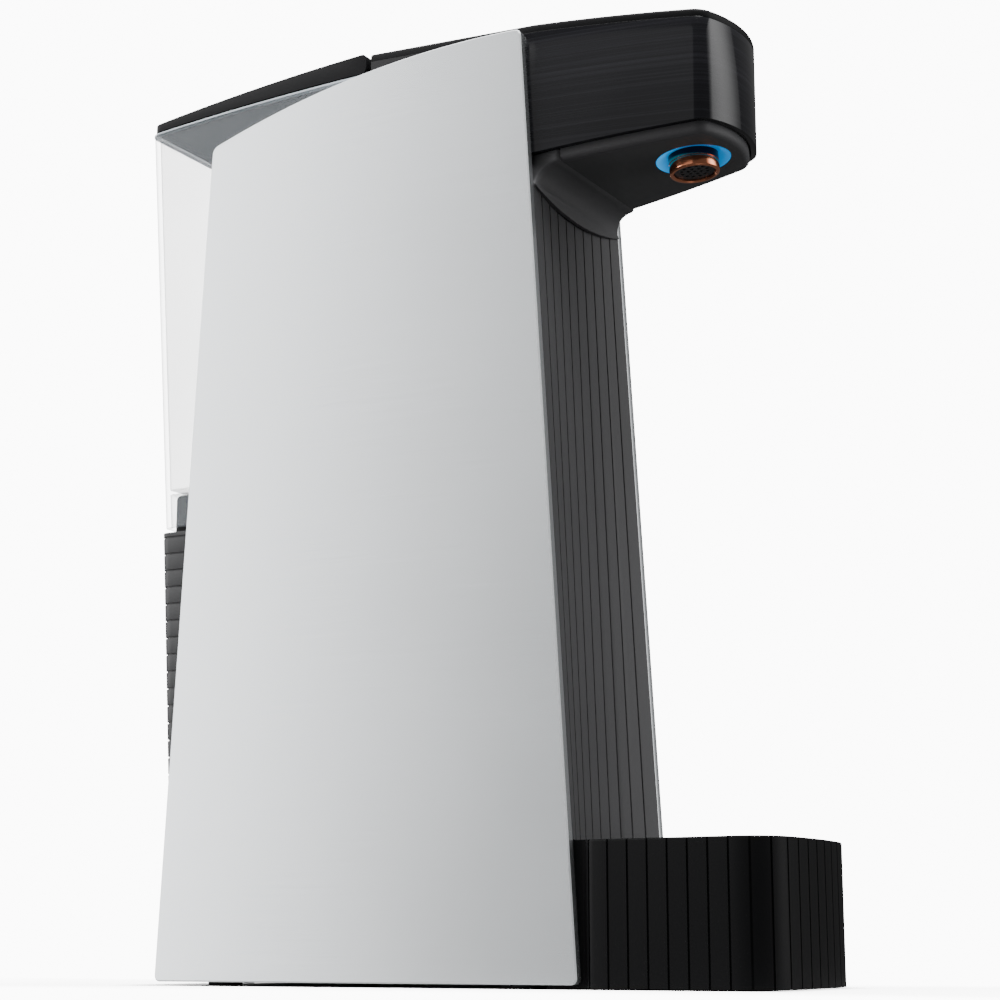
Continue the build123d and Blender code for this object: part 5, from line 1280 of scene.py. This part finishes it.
class DISPENSER_OT_lid(bpy.types.Operator):
    """Arched tank lid, hollow beneath, hinged at its front"""

    bl_idname = "dispenser.lid"
    bl_label = "Tank lid"

    def execute(self, context):
        sizes = context.scene.dispenser_tank
        front, back = LID_LOW.y, LID_HIGH.y
        half = LID_HIGH.x
        middle = (front + back) / 2
        top_front, low_front = sizes.lid_top, sizes.lid_top - sizes.lid_depth
        top_rear, low_rear = top_front - sizes.lid_fall, low_front - sizes.rim_fall
        top = arc_between((front, top_front), (middle, (top_front + top_rear) / 2 + sizes.lid_bow),
                          (back, top_rear), 26)
        under = arc_between((back, low_rear), (middle, (low_front + low_rear) / 2 + sizes.rim_bow),
                            (front, low_front), 26)
        lid = profile_slab("lid_arched", top + under, -half, half)
        with Shaping(lid) as shape:
            shape.choose("edges", lambda e: all(v.co.y > back - 0.01 * MM for v in e.verts)
                         and abs(e.verts[0].co.x - e.verts[1].co.x) < 1e-5)
            shape.bevel(4.0 * MM, 8)
            shape.choose("edges", lambda e: all(v.co.y < front + 0.01 * MM for v in e.verts)
                         and abs(e.verts[0].co.x - e.verts[1].co.x) > 1 * MM)
            shape.bevel(sizes.lid_edge, 6)
        hinge_y, hinge_z = (PIN_LOW.y + PIN_HIGH.y) / 2, (PIN_LOW.z + PIN_HIGH.z) / 2
        pocket_front = hinge_y + sizes.ear_radius + 3 * MM
        skin = 2.4 * MM
        roof = arc_between((pocket_front, top_front - skin - 0.6 * MM),
                           (middle, (top_front + top_rear) / 2 + sizes.lid_bow - skin),
                           (back - 3 * MM, top_rear - skin + 0.3 * MM), 22)
        pocket = roof + [(back - 3 * MM, low_rear - 2 * MM), (pocket_front, low_rear - 2 * MM)]
        carve(lid, profile_slab("pocket", pocket, -half + 3 * MM, half - 3 * MM))
        slot = sizes.ear_thick + 0.8 * MM
        reach = sizes.ear_radius + SLIDE_GAP
        for side in (-1, 1):
            x = side * sizes.ear_offset
            round_end = arc_points((hinge_y, hinge_z), reach, math.pi / 2, -math.pi / 2, 16)
            notch = [(front - 2 * MM, hinge_z + reach)] + round_end[:9]
            notch += [(hinge_y + reach, low_front - 3 * MM), (front - 2 * MM, low_front - 3 * MM)]
            carve(lid, profile_slab("notch", notch, x - slot / 2, x + slot / 2))
            carve(lid, disc("pin_hole", PIN_RADIUS + 0.05 * MM, 12.1 * MM, (x, hinge_y, hinge_z),
                            (1, 0, 0), 40))
        soften(lid, 0.4 * MM, 3, 32.0)
        finish_piece(lid, "lid", finish("lid"), "lid", "tank_lid")
        return {"FINISHED"}


def housing_rear(z):
    """Depth of the rear housing's outer face at height z."""
    sizes = bpy.context.scene.dispenser_rear
    return REAR_FOOT - sizes.foot_inset + sizes.lean * (z - PANEL_LOW.z)


def on_wall(across, up, out):
    """A place at the sockets on the rear wall: across to the right, up and out of the wall."""
    sizes = bpy.context.scene.dispenser_rear
    level = sizes.socket_level
    outward = Vector((0, 1, -sizes.lean)).normalized()
    upward = Vector((0, sizes.lean, 1)).normalized()
    return Vector((0, housing_rear(level), level)) + Vector((across, 0, 0)) + upward * up + outward * out


def wall_box(name, centre, width, height, near, far, corner=0.0, cut_corner=0.0):
    """A box on the rear wall between two distances out of it, with rounded or cut corners."""
    w, h = width / 2, height / 2
    outline = [(-w, -h), (w, -h), (w, h), (-w, h)]
    if cut_corner:
        outline[2:] = [(w, h - cut_corner), (w - cut_corner, h),
                       (-w + cut_corner, h), (-w, h - cut_corner)]
    push = on_wall(0, 0, far) - on_wall(0, 0, near)
    piece = slab(name, [on_wall(centre + x, y, near) for x, y in outline], push)
    if corner:
        with Shaping(piece) as shape:
            way = push.normalized()
            shape.choose("edges", lambda e: abs(
                (e.verts[0].co - e.verts[1].co).normalized().dot(way)) > 0.99)
            shape.bevel(corner, 6)
    return piece


class DISPENSER_OT_rear_housing(bpy.types.Operator):
    """Rear housing with the tank's deck, level grooves and vents"""

    bl_idname = "dispenser.rear_housing"
    bl_label = "Rear housing"

    def execute(self, context):
        sizes = context.scene.dispenser_rear
        low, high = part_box("rear_housing")
        half, foot, deck = high.x, low.z, high.z
        inner = housing_rear(foot) - sizes.depth
        outline = [(inner, foot), (housing_rear(foot), foot), (housing_rear(deck), deck), (inner, deck)]
        housing = profile_slab("rear_housing_ribbed", outline, -half, half)
        with Shaping(housing) as shape:
            shape.choose("edges", lambda e: abs(e.verts[0].co.z - e.verts[1].co.z) > 50 * MM
                         and min(v.co.y for v in e.verts) > inner + 5 * MM)
            shape.bevel(sizes.corner, 8)
        under_deck = deck - sizes.deck_thick
        hollow = [(inner - 1 * MM, foot - 1 * MM), (housing_rear(foot) - sizes.wall, foot - 1 * MM),
                  (housing_rear(under_deck) - sizes.wall, under_deck), (inner - 1 * MM, under_deck)]
        carve(housing, profile_slab("hollow", hollow, -half + sizes.wall, half - sizes.wall))
        deck_plate = blank("deck", (-half, low.y, under_deck), (half, inner + 1 * MM, deck))
        carve(housing, deck_plate, operation="UNION")
        cutters = []
        depth, radius = sizes.groove_depth, sizes.corner - sizes.groove_depth
        count = int((deck - sizes.plain_top - sizes.plain_foot) / sizes.groove_pitch) + 1
        for i in range(count):
            level = deck - sizes.plain_top - i * sizes.groove_pitch
            reach = housing_rear(level) - depth
            corner = arc_points((half - depth - radius, reach - radius), radius, 0.0, math.pi / 2, 6)
            inside = mirrored([(half - depth, inner)] + corner)
            outside = [(-half - FAR, inner), (-half - FAR, reach + FAR),
                       (half + FAR, reach + FAR), (half + FAR, inner)]
            cutters.append(plan_slab("groove", inside + outside, level - sizes.groove_width, level))
        carve(housing, *cutters)
        slots = []
        for i in range(sizes.vent_count):
            level = sizes.vent_level + (i - (sizes.vent_count - 1) / 2) * sizes.vent_pitch
            end = sizes.vent_height / 2
            reach = sizes.vent_length / 2 - end
            slot = arc_points((reach, level), end, -math.pi / 2, math.pi / 2, 8)
            slot += arc_points((-reach, level), end, math.pi / 2, 3 * math.pi / 2, 8)
            slots.append(slab("vent", [(x, inner + sizes.depth / 2, z) for x, z in slot], (0, FAR, 0)))
        carve(housing, *slots)
        sockets = ((sizes.inlet_across, sizes.inlet_width, sizes.inlet_height),
                   (sizes.switch_across, sizes.switch_width, sizes.switch_height))
        openings = [wall_box("opening", across, width + 0.7 * MM, height + 0.7 * MM, -9.5 * MM, 9.5 * MM)
                    for across, width, height in sockets]
        carve(housing, *openings)
        soften(housing, 0.15 * MM, 2, 40.0)
        finish_piece(housing, "machine", finish("housing"), "black", "rear_housing")
        return {"FINISHED"}


class DISPENSER_OT_sockets(bpy.types.Operator):
    """Power inlet, and the mains switch with its rocker"""

    bl_idname = "dispenser.sockets"
    bl_label = "Power inlet and switch"

    def execute(self, context):
        sizes = context.scene.dispenser_rear
        x, width, height = sizes.inlet_across, sizes.inlet_width, sizes.inlet_height
        inlet = wall_box("inlet_moulding", x, width + 5 * MM, height + 5 * MM, 0.0, 2 * MM, 2 * MM)
        carve(inlet, wall_box("shell", x, width, height, -20 * MM, 0.5 * MM), operation="UNION")
        mouth = wall_box("mouth", x, width - 3.2 * MM, height - 3.2 * MM, -15 * MM, 6 * MM,
                         cut_corner=4 * MM)
        carve(inlet, mouth)
        soften(inlet, 0.4 * MM, 3, 40.0)
        finish_piece(inlet, "machine", finish("black"), "black", "power_inlet")

        x, width, height = sizes.switch_across, sizes.switch_width, sizes.switch_height
        bezel = wall_box("switch_bezel", x, width + 3 * MM, height + 3 * MM, 0.0, 1.4 * MM, 1.2 * MM)
        carve(bezel, wall_box("shell", x, width, height, -15 * MM, 0.5 * MM), operation="UNION")
        carve(bezel, wall_box("pocket", x, width - 2.6 * MM, height - 2.6 * MM, -9.5 * MM, 6 * MM))
        soften(bezel, 0.3 * MM, 3, 40.0)
        finish_piece(bezel, "machine", finish("black"), "black", "switch_housing")

        rocker_low, rocker_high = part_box("rocker_switch")
        reach = (height - 2.6 * MM - 1.8 * MM) / 2
        tilt = math.radians(sizes.rocker_swing)
        dish = arc_between((-reach, 3.6 * MM), (0, 2.6 * MM), (reach, 3.6 * MM), 16)
        outline = [(-reach, -2.5 * MM)] + dish + [(reach, -2.5 * MM), (0, -5 * MM)]
        turned = [(y * math.cos(tilt) - z * math.sin(tilt), y * math.sin(tilt) + z * math.cos(tilt))
                  for y, z in outline]
        rocker = slab("rocker_cap", [on_wall(rocker_low.x, 0, 0) + (on_wall(0, up, -2 * MM + out) - on_wall(0, 0, 0))
                                     for up, out in turned], (rocker_high.x - rocker_low.x, 0, 0))
        soften(rocker, 0.5 * MM, 3, 30.0)
        finish_piece(rocker, "rocker", finish("button"), "black", "rocker_switch")
        return {"FINISHED"}


class DISPENSER_OT_works(bpy.types.Operator):
    """Finishes for the inner parts that are shown as packed"""

    bl_idname = "dispenser.works"
    bl_label = "Inner parts"

    def execute(self, context):
        for part in frame["record"]["subparts"]:
            piece = frame["nodes"][part["node"]]
            coat = finish(part["material_slot"])
            piece.data.materials.clear()
            piece.data.materials.append(coat)
            piece.data.polygons.foreach_set("use_smooth", [True] * len(piece.data.polygons))
            weld = piece.modifiers.new("Weld", "WELD")
            weld.merge_threshold = 1e-6
            split = piece.modifiers.new("Crease", "EDGE_SPLIT")
            split.split_angle = math.radians(32)
        return {"FINISHED"}


# ---------------------------------------------------------------------------
# Studio
# ---------------------------------------------------------------------------
def softbox(name, centre, aim, width, height, watts, fade=(1.0, 1.0, 1.0)):
    """A rectangular light that faces a point, graded from its left over its middle to its right."""
    centre, aim = Vector(centre), Vector(aim)
    clear_bench()
    bpy.ops.object.light_add(type="AREA", location=centre,
                             rotation=(aim - centre).to_track_quat("-Z", "Y").to_euler())
    light = bpy.context.object
    light.name = light.data.name = name
    light.data.shape, light.data.size, light.data.size_y = "RECTANGLE", width, height
    light.data.energy = watts
    light.data.use_nodes = True
    tree = light.data.node_tree
    place = tree.nodes.new("ShaderNodeNewGeometry")
    part = tree.nodes.new("ShaderNodeSeparateXYZ")
    ramp = tree.nodes.new("ShaderNodeValToRGB")
    ramp.color_ramp.interpolation = "EASE"
    ramp.color_ramp.elements.new(0.5)
    for element, spot, level in zip(ramp.color_ramp.elements, (0.0, 0.5, 1.0), fade):
        element.position, element.color = spot, (level, level, level, 1.0)
    tree.links.new(place.outputs["Parametric"], part.inputs[0])
    tree.links.new(part.outputs["X"], ramp.inputs["Fac"])
    tree.links.new(ramp.outputs["Color"], tree.nodes["Emission"].inputs["Color"])
    return light


class DISPENSER_OT_stage(bpy.types.Operator):
    """Pale floor, white surround, softboxes and camera"""

    bl_idname = "dispenser.stage"
    bl_label = "Stage"

    def execute(self, context):
        clear_bench()
        bpy.ops.mesh.primitive_circle_add(vertices=64, radius=1.2, fill_type="NGON", location=(0, 0, 0))
        floor = named("floor")
        with Shaping(floor) as shape:
            shape.choose("faces", lambda f: True)
            bpy.ops.mesh.inset(thickness=0.6)
        recipe = Recipe("pale_floor", Roughness=0.6, Specular_IOR_Level=0.2)
        recipe.material.surface_render_method = "BLENDED"
        grain = recipe.noise(160.0, 3.0)
        spot = recipe.node("ShaderNodeVectorMath", {"operation": "ABSOLUTE"},
                           {0: recipe.place(scale=(1 / 0.043, 1 / 0.149, 0.0))})
        across = recipe.node("ShaderNodeSeparateXYZ", {}, {0: spot}, output="X")
        along = recipe.node("ShaderNodeSeparateXYZ", {}, {0: spot}, output="Y")
        reach = across.sum_with("MAXIMUM", along)
        at_machine = recipe.span(reach, 1.0, 0.35, 0.92, 1.04)
        further_out = recipe.span(reach, 1.0, 0.0, 1.0, 2.4)
        recipe.set("Alpha", at_machine * further_out)
        recipe.set("Base Color", recipe.blend(grain, (0.86, 0.86, 0.86), (0.90, 0.90, 0.90)))
        floor.data.materials.append(recipe.material)

        world = bpy.data.worlds.new("white_surround")
        context.scene.world = world
        world.use_nodes = True
        tree = world.node_tree
        backdrop = tree.nodes["Background"]
        rays = tree.nodes.new("ShaderNodeLightPath")
        surround = tree.nodes.new("ShaderNodeBackground")
        surround.inputs["Color"].default_value = (1.0, 1.0, 1.0, 1.0)
        surround.inputs["Strength"].default_value = 11.0
        backdrop.inputs["Color"].default_value = (1.0, 1.0, 1.0, 1.0)
        backdrop.inputs["Strength"].default_value = 0.12
        mix = tree.nodes.new("ShaderNodeMixShader")
        tree.links.new(rays.outputs["Is Camera Ray"], mix.inputs[0])
        tree.links.new(backdrop.outputs[0], mix.inputs[1])
        tree.links.new(surround.outputs[0], mix.inputs[2])
        tree.links.new(mix.outputs[0], tree.nodes["World Output"].inputs["Surface"])

        softbox("rear_left_box", (-0.76, 1.20, 0.70), (0, 0, 0.45), 2.06, 1.9, 72, (0.25, 1.0, 0.0))
        softbox("side_box", (-1.46, 0.12, 0.60), (0, 0.12, 0.45), 1.20, 2.0, 3.2)
        softbox("key_box", (-0.36, -0.55, 1.60), (0, 0, 0.25), 0.6, 0.6, 14)
        softbox("front_box", (0.60, -1.60, 0.70), (0, 0, 0.40), 1.7, 1.9, 36, (0.1, 1.0, 0.1))
        softbox("top_box", (0.0, 0.1, 1.5), (0, 0, 0.0), 1.6, 1.6, 30)

        camera_spot = Vector((-0.7541, -0.4288, 0.0167))
        heading, climb, roll = math.radians(61.060), math.radians(11.812), math.radians(-0.072)
        forward = Vector((math.sin(heading) * math.cos(climb), math.cos(heading) * math.cos(climb),
                          math.sin(climb)))
        turn = forward.to_track_quat("-Z", "Y").to_matrix() @ Matrix.Rotation(roll, 3, "Z")
        clear_bench()
        bpy.ops.object.camera_add(location=camera_spot, rotation=turn.to_euler())
        camera = bpy.context.object
        camera.name = camera.data.name = "front_left_view"
        camera.data.lens, camera.data.sensor_width = 76.37, 36.0
        camera.data.clip_start = 0.05
        context.scene.camera = camera
        return {"FINISHED"}


# ---------------------------------------------------------------------------
# Sidebar panel and registration
# ---------------------------------------------------------------------------
STEPS = (
    DISPENSER_OT_side_panels,
    DISPENSER_OT_column,
    DISPENSER_OT_head_shell,
    DISPENSER_OT_top_cover,
    DISPENSER_OT_underside,
    DISPENSER_OT_nozzle,
    DISPENSER_OT_buttons,
    DISPENSER_OT_tray,
    DISPENSER_OT_grate,
    DISPENSER_OT_tank,
    DISPENSER_OT_lid,
    DISPENSER_OT_rear_housing,
    DISPENSER_OT_sockets,
    DISPENSER_OT_works,
    DISPENSER_OT_stage,
)
SETTINGS = {
    "dispenser_body": DispenserBody,
    "dispenser_head": DispenserHead,
    "dispenser_tank": DispenserTank,
    "dispenser_rear": DispenserRear,
    "dispenser_finish": DispenserFinish,
}


class DISPENSER_PT_sidebar(bpy.types.Panel):
    """Every step of the dispenser, and its settings"""

    bl_idname = "DISPENSER_PT_sidebar"
    bl_label = "Countertop Water Dispenser"
    bl_space_type = "VIEW_3D"
    bl_region_type = "UI"
    bl_category = "Dispenser"

    def draw(self, context):
        for step in STEPS:
            self.layout.operator(step.bl_idname)
        for key, group in SETTINGS.items():
            box = self.layout.box()
            box.label(text=group.__doc__)
            for name in group.__annotations__:
                box.prop(getattr(context.scene, key), name)


def register():
    for group in SETTINGS.values():
        bpy.utils.register_class(group)
    for step in STEPS:
        bpy.utils.register_class(step)
    bpy.utils.register_class(DISPENSER_PT_sidebar)
    for key, group in SETTINGS.items():
        setattr(bpy.types.Scene, key, PointerProperty(type=group))


def unregister():
    for key in SETTINGS:
        delattr(bpy.types.Scene, key)
    bpy.utils.unregister_class(DISPENSER_PT_sidebar)
    for step in reversed(STEPS):
        bpy.utils.unregister_class(step)
    for group in reversed(SETTINGS.values()):
        bpy.utils.unregister_class(group)


def main():
    """Makes every piece in order."""
    register()
    for step in STEPS:
        family, name = step.bl_idname.split(".")
        getattr(getattr(bpy.ops, family), name)()


if __name__ == "__main__":
    main()
